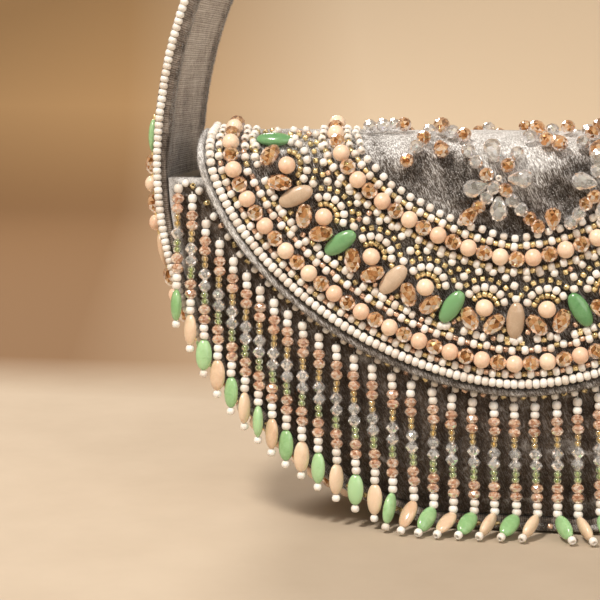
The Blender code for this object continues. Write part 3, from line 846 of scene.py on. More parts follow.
def billow(item, held, pressure, cap):
    """A short cloth simulation that swells a padded piece. Held points stay, no other moves beyond the cap."""
    item.vertex_groups.new(name="held").add(held, 1.0, "REPLACE")
    cloth = item.modifiers.new("billow", "CLOTH")
    settings = cloth.settings
    settings.vertex_group_mass = "held"
    settings.quality = 5
    settings.mass = 0.3
    settings.use_pressure = True
    settings.uniform_pressure_force = pressure
    settings.effector_weights.gravity = 0
    settings.shrink_min = -0.035
    cloth.collision_settings.use_collision = False
    scene = bpy.context.scene
    for number in range(1, 21):
        scene.frame_set(number)
    moved = item.evaluated_get(bpy.context.evaluated_depsgraph_get()).data
    count = len(item.data.vertices)
    rest, swollen = np.zeros(count * 3), np.zeros(count * 3)
    item.data.vertices.foreach_get("co", rest)
    moved.vertices.foreach_get("co", swollen)
    shift = (swollen - rest).reshape(-1, 3)
    length = np.linalg.norm(shift, axis=1, keepdims=True)
    shift *= np.minimum(1, cap * np.tanh(length / cap) / np.maximum(length, 1e-9))
    item.modifiers.remove(cloth)
    item.vertex_groups.clear()
    item.data.vertices.foreach_set("co", rest + shift.ravel())
    item.data.update()
    scene.frame_set(1)


def make_gusset():
    """The lining's strip between its two sides, with its hem."""
    half = PANEL_BACK - SEAM_GAP
    inner = half - LINING_THICKNESS
    profile = [(-half + 2 * half * i / 24, 0.0) for i in range(25)]
    profile += [(inner - 2 * inner * i / 24, LINING_THICKNESS) for i in range(25)]
    rows = []
    for i in range(LINING_STEPS + 1):
        share = i / LINING_STEPS
        row = []
        for y, inset in profile:
            start = math.asin((CENTRE_Z - MOUTH_Z) / (BAND_RADIUS - PANEL_INSET - inset))
            turn = -start - (math.pi - 2 * start) * share
            wave = 0.0005 * noise.noise(Vector((share * 60, y * 60, inset * 3000)))
            row.append(loop_point(turn, PANEL_INSET + inset + abs(wave), y))
        rows.append(row)
    mesh = sheet_mesh("lining_satin_gusset", rows, SATIN, wrap_across=True, caps=True)
    item = place_piece(mesh, "bag", "taupe_satin", ("lining_pouch",))
    radius = BAND_RADIUS - PANEL_INSET
    start = math.asin((CENTRE_Z - MOUTH_Z) / radius)


def make_lining_side(place, side):
    """One half-moon side of the lining, with soft folds on its inner face."""
    half = PANEL_BACK - SEAM_GAP
    faces = ((half, (0.2, 0.6, 1.0)), (half - LINING_THICKNESS, [1 - i / 40 for i in range(40)]))
    rows = []
    for y, scales in faces:
        for scale in scales:
            row = []
            for p in moon_loop(PANEL_INSET + LINING_THICKNESS + LINING_ROOM, MOUTH_Z, scale):
                wave = noise.noise(Vector((p.x * 55, side * 3.0, p.z * 18))) * 0.0006 * ease((1 - scale) / 0.1)
                row.append(Vector((p.x, side * (y - (abs(wave) if y < half else 0)), p.z)))
            rows.append(row)
    mesh = sheet_mesh(f"lining_satin_{place}", rows, SATIN, wrap_across=True, caps=True)
    item = place_piece(mesh, "bag", "taupe_satin")


def painted_spot_share(spots, x, drop):
    """How much of a spot of painted shade or painted highlight a place on the velvet field lies in, from 0 to 1.
    """
    share = 0.0
    for at_x, at_drop, reach in spots:
        for side in (1, -1):
            far = math.hypot((x - at_x * side) / 1.3, drop - at_drop)
            share = max(share, math.exp(-(far / reach) ** 2))
    return share


def bridge_rows(shares):
    """Rows of the flap's top from the back fold to the ridge: upper points, lower points and nap, which is paler
    where the crushed velvet stands up: painted light.
    """
    for i in range(34):
        share = 1 - i / 34
        y = -FOLD_FORWARD + BRIDGE_REACH * share
        z = RIDGE_Z - BRIDGE_FALL * share**2
        top, under, crest = [], [], []
        for u in shares:
            x = u * FLAP_HALF_WIDTH
            crush = ridged(Vector((x * 40, y * 120, 5.0)))
            up = 0.0005 * (crush - 0.3) * ease(share * (1 - share) * 9)
            top.append(Vector((x, y, z + up)))
            under.append(Vector((x, y, z - FLAP_THICKNESS)))
            # Paler where the crushed velvet stands up: painted light.
            crest.append(0.35 + 0.4 * crush)
        yield top, under, crest, 0.3


def front_drops():
    """How far below the ridge the rows of the flap's front lie: over the shoulder, then down to the edge."""
    drops = [SHOULDER_DROP * (1 - math.cos(math.pi / 2 * i / 18)) for i in range(19)]
    first = math.asin((SHOULDER_DROP / FLAP_LENGTH) ** (FLAP_EDGE_POWER / 2))
    for i in range(1, 111):
        turn = first + (math.radians(89.2) - first) * i / 110
        drops.append(FLAP_LENGTH * math.sin(turn) ** (2 / FLAP_EDGE_POWER))
    return drops


def front_rows(shares):
    """Rows of the flap's front from the ridge to the edge: upper points, lower points, and nap with painted
    light and shade.
    """
    shade_spots = [(*on_flap(u, v), reach) for u, v, reach in PAINTED_SHADE_SPOTS]
    highlight_spots = [(*on_flap(u, v), reach) for u, v, reach in PAINTED_HIGHLIGHT_SPOTS]
    for drop in front_drops():
        wide = flap_half_width(drop)
        top, under, crest = [], [], []
        for u in shares:
            x = u * wide
            rise = swell(x, drop)
            top.append(flap_point(x, drop, rise)[0])
            under.append(flap_point(x, drop, -FLAP_THICKNESS)[0])
            rim = edge_share(x, drop)
            field = ease((0.45 - rim) / 0.1)
            wave = 0.5 + noise.noise(Vector((x * 45, drop * 60, 8.0)))
            # Painted light and shade in the nap: paler where the velvet swells and near the ridge, painted
            # highlight; spots of painted highlight and painted shade; a random wave; and pale along the very
            # edge.
            nap = 0.14 + field * (0.10 + rise * 260 + 0.30 * wave) + 0.55 * ease((0.015 - drop) / 0.013)
            if field > 0:
                nap += field * (0.55 * painted_spot_share(highlight_spots, x, drop) - 0.75 * painted_spot_share(shade_spots, x, drop))
            crest.append(clamp(nap + (0.7 if rim > 0.985 else 0.0)))
        yield top, under, crest, 0.25


def make_flap():
    """The flap's velvet as one closed shell: from the back fold over ridge and shoulder to the curved edge."""
    across = 190
    # Shares of the width from edge to edge, denser near the edges
    shares = []
    for j in range(across + 1):
        shares.append(math.sin(math.pi * (j / across - 0.5)) * 0.35 + (2 * j / across - 1) * 0.65)
    rows, nap_and_light_rows = [], []
    for part in (bridge_rows(shares), front_rows(shares)):
        for top, under, crest, under_nap in part:
            rows.append(top + list(reversed(under)))
            nap_and_light_rows.append(crest + [under_nap] * len(shares))
    mesh = sheet_mesh("flap_velvet", rows, VELVET, wrap_across=True, caps=True, nap_and_light_rows=nap_and_light_rows)
    item = place_piece(mesh, None, "taupe_velvet", ("flap_bridge", "flap_front"))
    start, end = (0, -FOLD_FORWARD + 0.004, RIDGE_Z), (0, -FOLD_FORWARD - 0.004, RIDGE_Z)
    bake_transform(item)
    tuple(start)
    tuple(end)


def make_flap_edge():
    """The rolled velvet edge of the flap, with loose pile on it."""
    stations = row_stations(row_path(PIPING_RADIUS), SEAM_GAP * 0.5)
    whole = stations[2][-1]
    rows, nap_and_light_rows = [], []
    count = 420
    for i in range(count + 1):
        p, facing, along = station_at(stations, whole * i / count)
        side = along.cross(facing).normalized()
        radius = EDGE_ROLL_RADIUS + 0.00016 * noise.noise(Vector((i * 0.35, 0, 0)))
        # Paler higher up and on the roll's outward side, painted light, with a random tone.
        tone = 0.20 + 0.62 * ease((p.z - 0.050) / 0.055) + 0.35 * noise.noise(Vector((i * 0.21, 3.0, 0)))
        turns = [math.tau * j / 12 for j in range(12)]
        rows.append([p + side * (radius * math.cos(a)) + facing * (radius * math.sin(a)) for a in turns])
        nap_and_light_rows.append([clamp(tone + 0.15 * math.sin(a)) for a in turns])
    mesh = sheet_mesh("flap_edge_roll", rows, EDGE_VELVET, wrap_across=True, caps=True, nap_and_light_rows=nap_and_light_rows)
    roots, ways = [], []
    tufts = 5200
    for i in range(tufts):
        p, facing, along = station_at(stations, whole * (i + 0.5) / tufts)
        side = along.cross(facing).normalized()
        a = rng.uniform(-0.4, math.pi + 0.4)
        way = side * math.cos(a) + facing * math.sin(a)
        roots.append(p + way * 0.0010)
        ways.append((way + along * rng.uniform(-0.9, 0.9)).normalized() * rng.uniform(0.0004, 0.0010))
    add_pile("flap_edge_pile", "flap_front", roots, ways)
    place_piece(mesh, "flap_front", "taupe_velvet", ("flap_piping",))


def make_seam_roll():
    """A rolled velvet seam round the line on which the flap folds up from the back panel."""
    rows, nap_and_light_rows = [], []
    for i in range(241):
        x = FLAP_HALF_WIDTH * (2 * i / 240 - 1)
        size = SEAM_ROLL_RADIUS + 0.00008 * noise.noise(Vector((i * 0.5, 7.0, 0)))
        row, crest = [], []
        for j in range(12):
            a = math.tau * j / 12
            y = PANEL_FACE - 0.0006 + size * math.cos(a)
            row.append(Vector((x, y, MOUTH_Z + SEAM_GAP + size * math.sin(a))))
            # Paler on the roll's top, painted light, with a random tone.
            crest.append(clamp(0.45 + 0.3 * math.sin(a) + 0.3 * noise.noise(Vector((i * 0.3, j * 0.7, 1.0)))))
        rows.append(row)
        nap_and_light_rows.append(crest)
    mesh = sheet_mesh("back_seam_roll", rows, EDGE_VELVET, wrap_across=True, caps=True, nap_and_light_rows=nap_and_light_rows)
    place_piece(mesh, "bag", "taupe_velvet")


def add_pile(name, body, roots, ways):
    """Loose tufts of pile: thin three-sided spikes from their roots, with the nap's tone kept per tuft."""
    roots, ways = np.array([tuple(p) for p in roots]), np.array([tuple(w) for w in ways])
    count = len(roots)
    first = np.cross(ways, (0.31, 0.55, 0.77))
    first /= np.linalg.norm(first, axis=1, keepdims=True)
    second = np.cross(ways, first)
    second /= np.linalg.norm(second, axis=1, keepdims=True)
    points = np.zeros((count, 4, 3))
    for k in range(3):
        a = math.tau * k / 3
        points[:, k] = roots + TUFT_RADIUS * (first * math.cos(a) + second * math.sin(a))
    points[:, 3] = roots + ways
    start = np.arange(count)[:, None] * 4
    loops = start[:, :, None] + np.array([[0, 2, 1], [0, 1, 3], [1, 2, 3], [2, 0, 3]])
    mesh = raw_mesh(name, points.reshape(-1, 3), loops.ravel(), np.arange(0, count * 12, 3))
    # Tufts are paler higher up, painted light, each with a random tone.
    height = np.clip((points[:, :, 2] - 0.050) / 0.055, 0, 1)
    crest = np.clip(0.25 + 0.6 * height + facet_chance.uniform(-0.35, 0.35, (count, 1)), 0, 1)
    mesh.attributes.new("crest", "FLOAT", "POINT").data.foreach_set("value", crest.astype(np.float32).ravel())
    mesh.update(calc_edges=True)
    mesh.materials.append(EDGE_VELVET)
    place_piece(mesh, body, "taupe_velvet")


def mouth_tufts(side):
    """Roots and directions of the pile along the mouth of a panel."""
    width = BAND_RADIUS - PANEL_INSET - 0.0015
    for _ in range(3800):
        x = rng.uniform(-width, width)
        y = side * (PANEL_FACE - rng.uniform(0.0, 0.0014))
        root = Vector((x, y, MOUTH_Z - rng.uniform(0.0001, 0.0010)))
        way = Vector((rng.uniform(-0.5, 0.5), side * rng.uniform(0.0, 0.7), rng.uniform(0.4, 1.0)))
        yield root, way.normalized() * rng.uniform(0.0004, 0.0010)


def handle_tufts(side):
    """Roots and directions of the pile along a rolled edge of the handle."""
    for _ in range(9000):
        turn = math.pi * (0.03 + 0.94 * rng.random())
        y = side * (BAND_DEPTH / 2 - rng.uniform(-0.0001, 0.0040))
        inset = BAND_THICKNESS + 0.0002 + RIM_ROLL_HEIGHT * rim_roll(y)
        p = loop_point(turn, inset, y)
        inward = (loop_point(turn, inset + 0.01, y) - p).normalized()
        slant = Vector((rng.uniform(-0.6, 0.6), side * rng.uniform(0.0, 0.9), rng.uniform(-0.6, 0.6)))
        yield p - inward * 0.0001, (inward + slant).normalized() * rng.uniform(0.0004, 0.0009)


def make_mouth_pile():
    """Pile that stands up along the mouth of both panels and along the rolled edges of the handle."""
    tufts = []
    for side in (-1, 1):
        tufts += mouth_tufts(side)
        tufts += handle_tufts(side)
    roots, ways = zip(*tufts)
    add_pile("mouth_and_handle_pile", "bag", roots, ways)


# Beadwork


def jitter(direction, amount):
    """A direction turned a little at random."""
    shift = Vector([rng.uniform(-amount, amount) for _ in range(3)])
    return (Vector(direction) + shift).normalized()


# Footprints of the beads on the flap's front: (x, distance from the ridge along the face, radius)
footprints = []
# Distances along the flap's shoulder, which falls in equal steps
SHOULDER_STEPS = 200
shoulder_arc = [0.0]
for step in range(SHOULDER_STEPS):
    reaches = [SHOULDER_REACH * math.sqrt(1 - (1 - (step + k) / SHOULDER_STEPS) ** 2) for k in (0, 1)]
    reach_a, reach_b = (FOLD_FORWARD + reach for reach in reaches)
    shoulder_arc.append(shoulder_arc[-1] + math.hypot(reach_b - reach_a, SHOULDER_DROP / SHOULDER_STEPS))


def face_distance(drop):
    """The distance from the ridge along the flap's face."""
    share = clamp(drop / SHOULDER_DROP) * SHOULDER_STEPS
    low = min(int(share), SHOULDER_STEPS - 1)
    arc = shoulder_arc[low] + (shoulder_arc[low + 1] - shoulder_arc[low]) * (share - low)
    return arc + max(drop - SHOULDER_DROP, 0)


def note_bead(p, radius):
    footprints.append((p.x, face_distance(RIDGE_Z - p.z), radius))


def sew_row(batch, inset, pattern, end_drop=0.0008, wander=0.0):
    """Beads strung along a row. Each kind is (form, material, radius, half length, gap after it)."""
    stations = row_stations(row_path(inset, end_drop), 0)
    whole = stations[2][-1]
    pitch = sum(2 * half + gap for _, _, _, half, gap in pattern)
    repeats = max(1, round(whole / pitch))
    scale = whole / (repeats * pitch)
    far = 0.0
    for form, material, radius, half, gap in list(pattern) * repeats:
        far += half * scale
        p, facing, along = station_at(stations, far)
        size = rng.uniform(0.94, 1.06)
        p = p + along.cross(facing) * rng.uniform(-wander, wander)
        centre = p + facing * (SEAM_GAP + radius * size + swell(p.x, RIDGE_Z - p.z))
        way = jitter(along, 0.10)
        batch.add_round(form, material, centre, way, facing, radius * size, half * min(scale, 1.02))
        note_bead(p, radius)
        far += (half + gap) * scale


def make_rows():
    white = (SEED, WHITE, 0.00149, 0.00112, 0.0)
    small = (SEED, WHITE, 0.00136, 0.00108, 0.0)
    gold = (TINY, GOLD, 0.00092, 0.00085, 0.0)
    copper = (TINY, COPPER, 0.00092, 0.00085, 0.0)
    edge = Batch("edge_seed_beads", "flap_front", "white_seed_beads")
    sew_row(edge, EDGE_ROW_INSET, [white], 0.0004)
    edge.build("edge_seed_row")
    outer = Batch("seed_rows_outer", "flap_front", "white_seed_beads")
    sew_row(outer, 0.0070, [small, copper, small, gold], wander=0.0002)
    sew_row(outer, 0.0148, [small, copper, small, gold, small, copper], wander=0.0004)
    sew_row(outer, 0.0176, [small, gold, small, (SEED, WHITE, 0.00128, 0.00095, 0.0032)], wander=0.0007)
    outer.build()
    inner = Batch("seed_rows_inner", "flap_front", "white_seed_beads")
    sew_row(inner, 0.0390, [small, gold], wander=0.0003)
    sew_row(inner, 0.0466, [small, gold], wander=0.0003)
    sew_row(inner, 0.0494, [(SEED, WHITE, 0.00122, 0.0011, 0.0012)], wander=0.0004)
    inner.build()


def inset_of(x, drop):
    """How far places on the flap's front lie inside its edge."""
    low, high = np.zeros(len(x)), np.full(len(x), 0.06)
    for _ in range(16):
        inset = (low + high) / 2
        power = FLAP_EDGE_POWER - ROW_POWER_LOSS * np.clip(inset / INNER_RING_INSET, 0, 1.3)
        outside = (np.abs(x) / (FLAP_HALF_WIDTH - inset)) ** power + (drop / (FLAP_LENGTH - inset)) ** power > 1
        high = np.where(outside, inset, high)
        low = np.where(outside, low, inset)
    return (low + high) / 2


def fill_between():
    """Loose seeds over the velvet that is left between the rings, never closer than their own sizes allow."""
    batch = Batch("scattered_seeds", "flap_front", "gold_seed_beads")
    picks = np.random.default_rng(5)
    big, small = 5200, 12000
    x = picks.uniform(-FLAP_HALF_WIDTH, FLAP_HALF_WIDTH, big + small)
    drop = picks.uniform(0.0012, FLAP_LENGTH, big + small)
    inset = inset_of(x, drop)
    taken = np.zeros((len(footprints) + big + small, 3))
    taken[:len(footprints)] = footprints
    count = len(footprints)
    for i in np.nonzero((inset > SCATTER_FROM) & (inset < SCATTER_TO))[0]:
        seed = i < big
        radius = 0.00128 if seed else 0.0009
        at = (x[i], face_distance(drop[i]))
        gaps = np.hypot(taken[:count, 0] - at[0], taken[:count, 1] - at[1]) - taken[:count, 2]
        if gaps.min() < radius * (1.02 if seed else 0.84):
            continue
        taken[count] = (*at, radius)
        count += 1
        p, facing = flap_point(x[i], drop[i], SEAM_GAP + radius + swell(x[i], drop[i]))
        run = Vector((picks.normal(), 0.0, picks.normal()))
        material = WHITE if seed else (GOLD, GOLD, COPPER)[i % 3]
        form = SEED if seed else TINY
        batch.add_round(form, material, p, jitter(run, 0.2), facing, radius, radius * 0.88)
    batch.build()


def make_ring(name, inset, beads, peach_parity, replaced):
    """A ring of round peach beads and faceted champagne beads in turn."""
    stations = row_stations(row_path(inset, SEAM_GAP), SEAM_GAP + ROUND_BEAD_RADIUS)
    whole = stations[2][-1]
    half = whole / beads / 2
    batch = Batch(name, "flap_front", "peach_beads")
    for i in range(beads):
        p, facing, along = station_at(stations, whole * (i + 0.5) / beads)
        note_bead(p, ROUND_BEAD_RADIUS * 0.95)
        p = p + facing * swell(p.x, RIDGE_Z - p.z)
        if (i - beads // 2) % 2 == peach_parity:
            batch.add_round(BALL, PEACH, p, jitter(along, 0.05), facing, ROUND_BEAD_RADIUS * 1.03, half * 1.02)
        else:
            along, up = jitter(along, 0.08), jitter(facing, 0.4)
            batch.add_round(RONDELLE, AMBER, p, along, up, ROUND_BEAD_RADIUS * 0.98, half * 0.96)
    batch.build(replaced)


# Arcs of seeds round each peach bead of the garland: distance, form, material, bead radius, count, half spread
GARLAND_ARCS = (
    (0.0040, TINY, GOLD, 0.00095, 6, 62), (0.0062, SEED, WHITE, 0.0013, 6, 62),
    (0.0088, TINY, GOLD, 0.00092, 7, 52), (0.0112, SEED, WHITE, 0.00125, 3, 22),
)


def make_garland():
    """Oval beads; between each two, champagne barrels in a V round a peach bead, and arcs of seeds."""
    batch = Batch("vine_garland_beads", "flap_front", "beige_drops")
    stations = row_stations(row_path(GARLAND_INSET, 0.004), 0)
    inner_stations = row_stations(row_path(GARLAND_BALL_INSET, 0.004), 0)
    whole, inner_whole = stations[2][-1], inner_stations[2][-1]
    middle, gaps = GARLAND_OVALS // 2, GARLAND_OVALS - 1

    def sew(form, material, p, along, up, radii, half, lift, foot):
        p, facing = flap_point(p.x, max(RIDGE_Z - p.z, 0.0012), 0)
        batch.add(form, material, p + facing * (lift + swell(p.x, RIDGE_Z - p.z)), along, up, *radii, half)
        for k in (-0.6, 0, 0.6):
            note_bead(p + Vector(along).normalized() * (half * k), foot)

    def sew_arcs(q, facing, along):
        inward = -along.cross(facing).normalized()
        for radius, form, material, size, count, spread_deg in GARLAND_ARCS:
            for k in range(count):
                a = math.radians(-spread_deg + 2 * spread_deg * k / (count - 1))
                place = q + inward * (radius * math.cos(a)) + along * (radius * math.sin(a))
                if RIDGE_Z - place.z < 0.001:
                    continue
                run = along * math.cos(a) - inward * math.sin(a)
                if form is SEED and k % 2:
                    run = along * math.sin(a) + inward * math.cos(a)
                lift = SEAM_GAP + size
                sew(form, material, place, jitter(run, 0.25), facing, (size, size), size * 0.85, lift, size)

    for i in range(GARLAND_OVALS):
        p, facing, along = station_at(stations, whole * i / gaps)
        out = along.cross(facing).normalized()
        slant = -0.24 if i < middle else 0.24 if i > middle else -0.08
        material = GREEN if (i - middle) % 2 else BEIGE
        way = jitter(out + along * slant, 0.05)
        sew(OVAL, material, p, way, facing, (0.0018, 0.00285), 0.0056, 0.0022, 0.0024)
        for end in (-1, 1):
            sew(SEED, WHITE, p + out * (0.0066 * end), out, facing, (0.0013, 0.0013), 0.0011, 0.0016, 0.0012)
        for k in (-1, 1):
            place = p + out * 0.0070 + along * (k * 0.0022)
            sew(TINY, GOLD, place, along, facing, (0.0009, 0.0009), 0.0009, 0.0012, 0.0009)
        if i == gaps:
            continue
        for k, rise in ((-1, -0.95), (1, 1.1)):
            q, facing, along = station_at(stations, whole * (i + 0.5) / gaps + k * 0.0037)
            out = along.cross(facing).normalized()
            way = along * 0.8 - out * rise
            up = jitter(facing, 0.3)
            sew(BARREL, AMBER, q + out * 0.0017, way, up, (0.0025, 0.0026), 0.0037, 0.0029, 0.0026)
        q, facing, along = station_at(inner_stations, inner_whole * (i + 0.5) / gaps)
        sew(BALL, PEACH, q, along, facing, (0.0027, 0.0027), 0.0027, 0.0031, 0.0026)
        sew_arcs(q, facing, along)
    batch.build("vine_garland")


def strand_top(index):
    x = math.copysign(FRINGE_REACH * STRAND_SHARES[abs(index)], index)
    offset = HEADER_OFFSET + HEADER_SIDE_OFFSET * STRAND_SHARES[abs(index)] ** 4
    z = min(RIDGE_Z - flap_edge_drop(x, offset), MOUTH_Z - HEADER_MARGIN)
    return Vector((x, -PANEL_FACE - SEAM_GAP - FACETED_RADIUS * HEADER_BEAD_SHARE, z))


def strand_directions(index, top):
    length = CHAIN_LENGTH
    if abs(index) == FRINGE_PER_SIDE:
        length *= CHAIN_END_SHARE
    length = min(length, top.z - CHAIN_FLOOR_GAP)
    lean = (RIM_FACE + SEAM_GAP + DROP_RADIUS + top.y) / length
    chain = Vector((0, -lean, -math.sqrt(1 - lean**2)))
    bottom = top + chain * length
    down = (bottom.z - END_BEAD_RADIUS - SEAM_GAP) / (DROP_LENGTH + END_BEAD_RADIUS)
    if down >= -chain.z:
        return length, chain, chain
    level = math.sqrt(1 - down**2)
    side = DROP_SIDE_SHARE * (level - lean) * (1 if index > 1 else -1)
    return length, chain, Vector((side, -math.sqrt(level**2 - side**2), -down))


# Beads down a strand: kind, radius, and share of the chain
STRAND_PLAN = (
    ("white", STRAND_SEED, 0.072), ("white", STRAND_SEED * 0.98, 0.062), *[("rose", STRAND_CUT, 0.078)] * 2,
    *[("gold", STRAND_SEED * 0.80, 0.052)] * 2, *[("clear", STRAND_CUT * 1.09, 0.094)] * 2,
    *[("green", STRAND_SEED * 0.92, 0.052)] * 2, *[("rose", STRAND_CUT, 0.078)] * 2,
    *[("white", STRAND_SEED, 0.062)] * 2,
)
# Those that the outermost strands leave out
STRAND_LEFT_OUT = (1, 6)


def add_strand_bead(batch, kind, centre, along, radius, half):
    """One bead of a strand: an opaque seed, a cut bead, or a clear seed with a bright lining."""
    if kind == "white":
        batch.add_round(SEED, WHITE, centre, along, FRONT, radius, half * 0.98)
    elif kind == "rose":
        batch.add_round(RONDELLE, ROSE, centre, along, jitter(FRONT, 0.5), radius, half)
    elif kind == "clear":
        batch.add_round(BICONE, CLEAR, centre, along, jitter(FRONT, 0.5), radius, half)
    else:
        shell = AMBER_SHELL if kind == "gold" else GREEN_SHELL
        batch.add_round(SEED, shell, centre, along, FRONT, radius, half * 0.97)
        batch.add_round(CORE, BRIGHT_CORE, centre, along, FRONT, radius * 0.46, half * 0.94)


def make_strand(index):
    """One strand bead by bead on its thread, down to the oval drop and the bead that holds it."""
    top = strand_top(index)
    length, chain, drop = strand_directions(index, top)
    name = f"fringe_{index + FRINGE_PER_SIDE:02d}"
    batch = Batch(name + "_beads", name, "beige_drops" if index % 2 else "green_drops")
    plan = list(STRAND_PLAN)
    if abs(index) == FRINGE_PER_SIDE:
        plan = [bead for k, bead in enumerate(plan) if k not in STRAND_LEFT_OUT]
    total = sum(share for _, _, share in plan)
    # Towards the sides the strands hang closer, so they sway and lean less
    crowd = ease((abs(index) - (4 if index > 0 else 7)) / 6)
    room = 0.0007 - 0.0005 * crowd
    sway, bend = rng.uniform(-room, room), rng.uniform(3.0, 6.0)
    lean = (STRAND_LEAN + rng.uniform(-0.0003, 0.0003)) * (1 - crowd)
    far = 0.0
    for kind, radius, share in plan:
        half = share / total * (1 - STRAND_START) / 2
        at = STRAND_START + far + half
        far += 2 * half
        shift = lean * at + sway * math.sin(at * bend) * (1 - at) + rng.uniform(-0.00014, 0.00014)
        centre = top + chain * (length * at) + Vector((shift, 0, 0))
        add_strand_bead(batch, kind, centre, jitter(chain, 0.07), radius, half * length)
    bottom = top + chain * length + Vector((lean, 0, 0))
    add_drop(batch, index, bottom, drop)
    end = bottom + drop * (DROP_LENGTH + END_BEAD_RADIUS * 0.9)
    batch.add_round(SEED, WHITE, end, drop, FRONT, END_BEAD_RADIUS, END_BEAD_RADIUS * 0.82)
    thread = bottom - top
    batch.add_round(CORE, THREAD, (top + bottom) / 2, thread, FRONT, THREAD_RADIUS, thread.length / 2)
    batch.build(name)


def add_drop(batch, index, bottom, drop):
    """The flat oval drop, turned about its length and moved forward where it would reach behind its solid."""
    turn = math.radians(DROP_TURNS_DEG[abs(index)])
    reach = math.hypot(OVAL_WIDE * math.sin(turn), OVAL_THIN * math.cos(turn))
    middle = bottom + drop * (DROP_LENGTH * 0.5) + FRONT * max(0.0, reach - DROP_RADIUS)
    facing = Matrix.Rotation(turn, 3, drop) @ FRONT
    material = PALE_BEIGE if index % 2 else PALE_GREEN
    batch.add(OVAL, material, middle, drop, facing, OVAL_THIN, OVAL_WIDE, DROP_LENGTH * 0.5)


def make_header():
    """The line of seeds that the strands hang from, just outside the flap's edge."""
    batch = Batch("header_seed_row", "bag", "white_seed_beads")
    places = []
    for i in range(-FRINGE_PER_SIDE, FRINGE_PER_SIDE + 1):
        top = strand_top(i)
        side = clamp(abs(top.x) / 0.06)
        shift = -math.copysign(0.0024 * side, top.x) if i else 0.0
        p = top + Vector((shift + rng.uniform(-0.0003, 0.0003), 0, 0.0009 - 0.0007 * side))
        p.z = min(p.z, MOUTH_Z - 0.0016)
        p.y = -PANEL_FACE - 0.0013
        places.append(p)
        slope = Vector((1, 0, 0.9 * (top.x / FRINGE_REACH)))
        batch.add(SEED, WHITE, p, jitter(slope, 0.15), FRONT, 0.00128, 0.00130, 0.0011)
    for first, second in zip(places, places[1:]):
        q = (first + second) / 2 + Vector((0, 0.0004, 0.0002))
        material = rng.choice((GOLD, GOLD, COPPER))
        batch.add_round(TINY, material, q, jitter(second - first, 0.1), FRONT, 0.00092, 0.0010)
    batch.build()


def make_rim(name, y):
    """Seed beads strung along a rim of the band, and below them a roll of velvet with a few lined seeds."""
    steps = 1440
    fine = [loop_point(math.tau * i / steps, RIM_BEAD_RADIUS + SEAM_GAP, y) for i in range(steps + 1)]
    string_rim(name, y, fine)
    rows, nap_and_light_rows = [], []
    for i in [i for i, p in enumerate(fine) if p.z < ROLL_TOP + 0.001]:
        along = (fine[min(i + 1, steps)] - fine[i - 1]).normalized()
        out = along.cross(Vector((0, 1, 0)))
        radius = RIM_VELVET_RADIUS + 0.00008 * noise.noise(Vector((i * 0.9, y * 100, 0)))
        ring = [(math.cos(math.tau * j / 10), math.sin(math.tau * j / 10)) for j in range(10)]
        rows.append([fine[i] + (out * c + Vector((0, d, 0))) * radius for c, d in ring])
        nap_and_light_rows.append([clamp(0.24 + 0.5 * noise.noise(Vector((i * 0.4, c, d)))) for c, d in ring])
    roll = name.replace("beads", "roll")
    mesh = sheet_mesh(roll, rows, EDGE_VELVET, wrap_across=True, caps=True, nap_and_light_rows=nap_and_light_rows)
    place_piece(mesh, "bag", "taupe_velvet")


def string_rim(name, y, fine):
    """White seeds along the upper part of a rim, and now and then a lined seed along the lower part."""
    batch = Batch(name + "_strung", "bag", "white_seed_beads")
    far = [0.0]
    for a, b in zip(fine, fine[1:]):
        far.append(far[-1] + (b - a).length)
    count = round(far[-1] / 0.00206)
    for i in range(count):
        at = far[-1] * (i + 0.5) / count
        k = int(np.clip(np.searchsorted(far, at) - 1, 0, len(far) - 2))
        p = fine[k].lerp(fine[k + 1], (at - far[k]) / (far[k + 1] - far[k]))
        along = (fine[k + 1] - fine[k]).normalized()
        out = along.cross(Vector((0, 1, 0)))
        p = p + out * rng.uniform(-0.0001, 0.0001) + Vector((0, rng.uniform(-0.0001, 0.0001), 0))
        if p.z > ROLL_TOP:
            batch.add_round(SEED, WHITE, p, jitter(along, 0.08), Vector((0, 1, 0)), 0.00139, 0.00103)
        elif rng.random() < 0.24:
            down = (out + Vector((0, math.copysign(0.6, y), 0))).normalized()
            material = rng.choice((COPPER, GOLD))
            batch.add_round(TINY, material, p + down * 0.0006, jitter(along, 0.2), down, 0.00095, 0.00095)
    batch.build(name)


def side_path(side):
    """(place on the band's outer face, facing) pairs down in front, across near the base and up behind."""
    bend = SIDE_STRING_SPREAD / BAND_RADIUS
    top = math.radians(SIDE_STRING_TOP_DEG)
    straight = math.radians(SIDE_STRING_BOTTOM_DEG) - bend
    leg = [top + (straight - top) * i / 300 for i in range(300)]
    places = [(fall, -SIDE_STRING_SPREAD) for fall in leg]
    for i in range(301):
        turn = math.pi * i / 300
        places.append((straight + bend * math.sin(turn), -SIDE_STRING_SPREAD * math.cos(turn)))
    places += [(fall, SIDE_STRING_SPREAD) for fall in reversed(leg)]
    points, facings, far = [], [], [0.0]
    for fall, y in places:
        turn = -fall if side > 0 else math.pi + fall
        surface = loop_point(turn, 0, y)
        facings.append((surface - loop_point(turn, BAND_THICKNESS, y)).normalized())
        if points:
            far.append(far[-1] + (surface - points[-1]).length)
        points.append(surface)
    return points, facings, far


# Beads of one repeat of a side string: place in it, form, material and half sizes
SIDE_STRING_BEADS = (
    (0.16, OVAL, None, 0.0028, 0.0016, 0.0052), (0.41, BARREL, AMBER, 0.0022, 0.0020, 0.0030),
    (0.58, BALL, PEACH, 0.0023, 0.0022, 0.0025), (0.75, BARREL, AMBER, 0.0022, 0.0020, 0.0030),
    (0.92, BALL, PEACH, 0.0023, 0.0022, 0.0025),
)


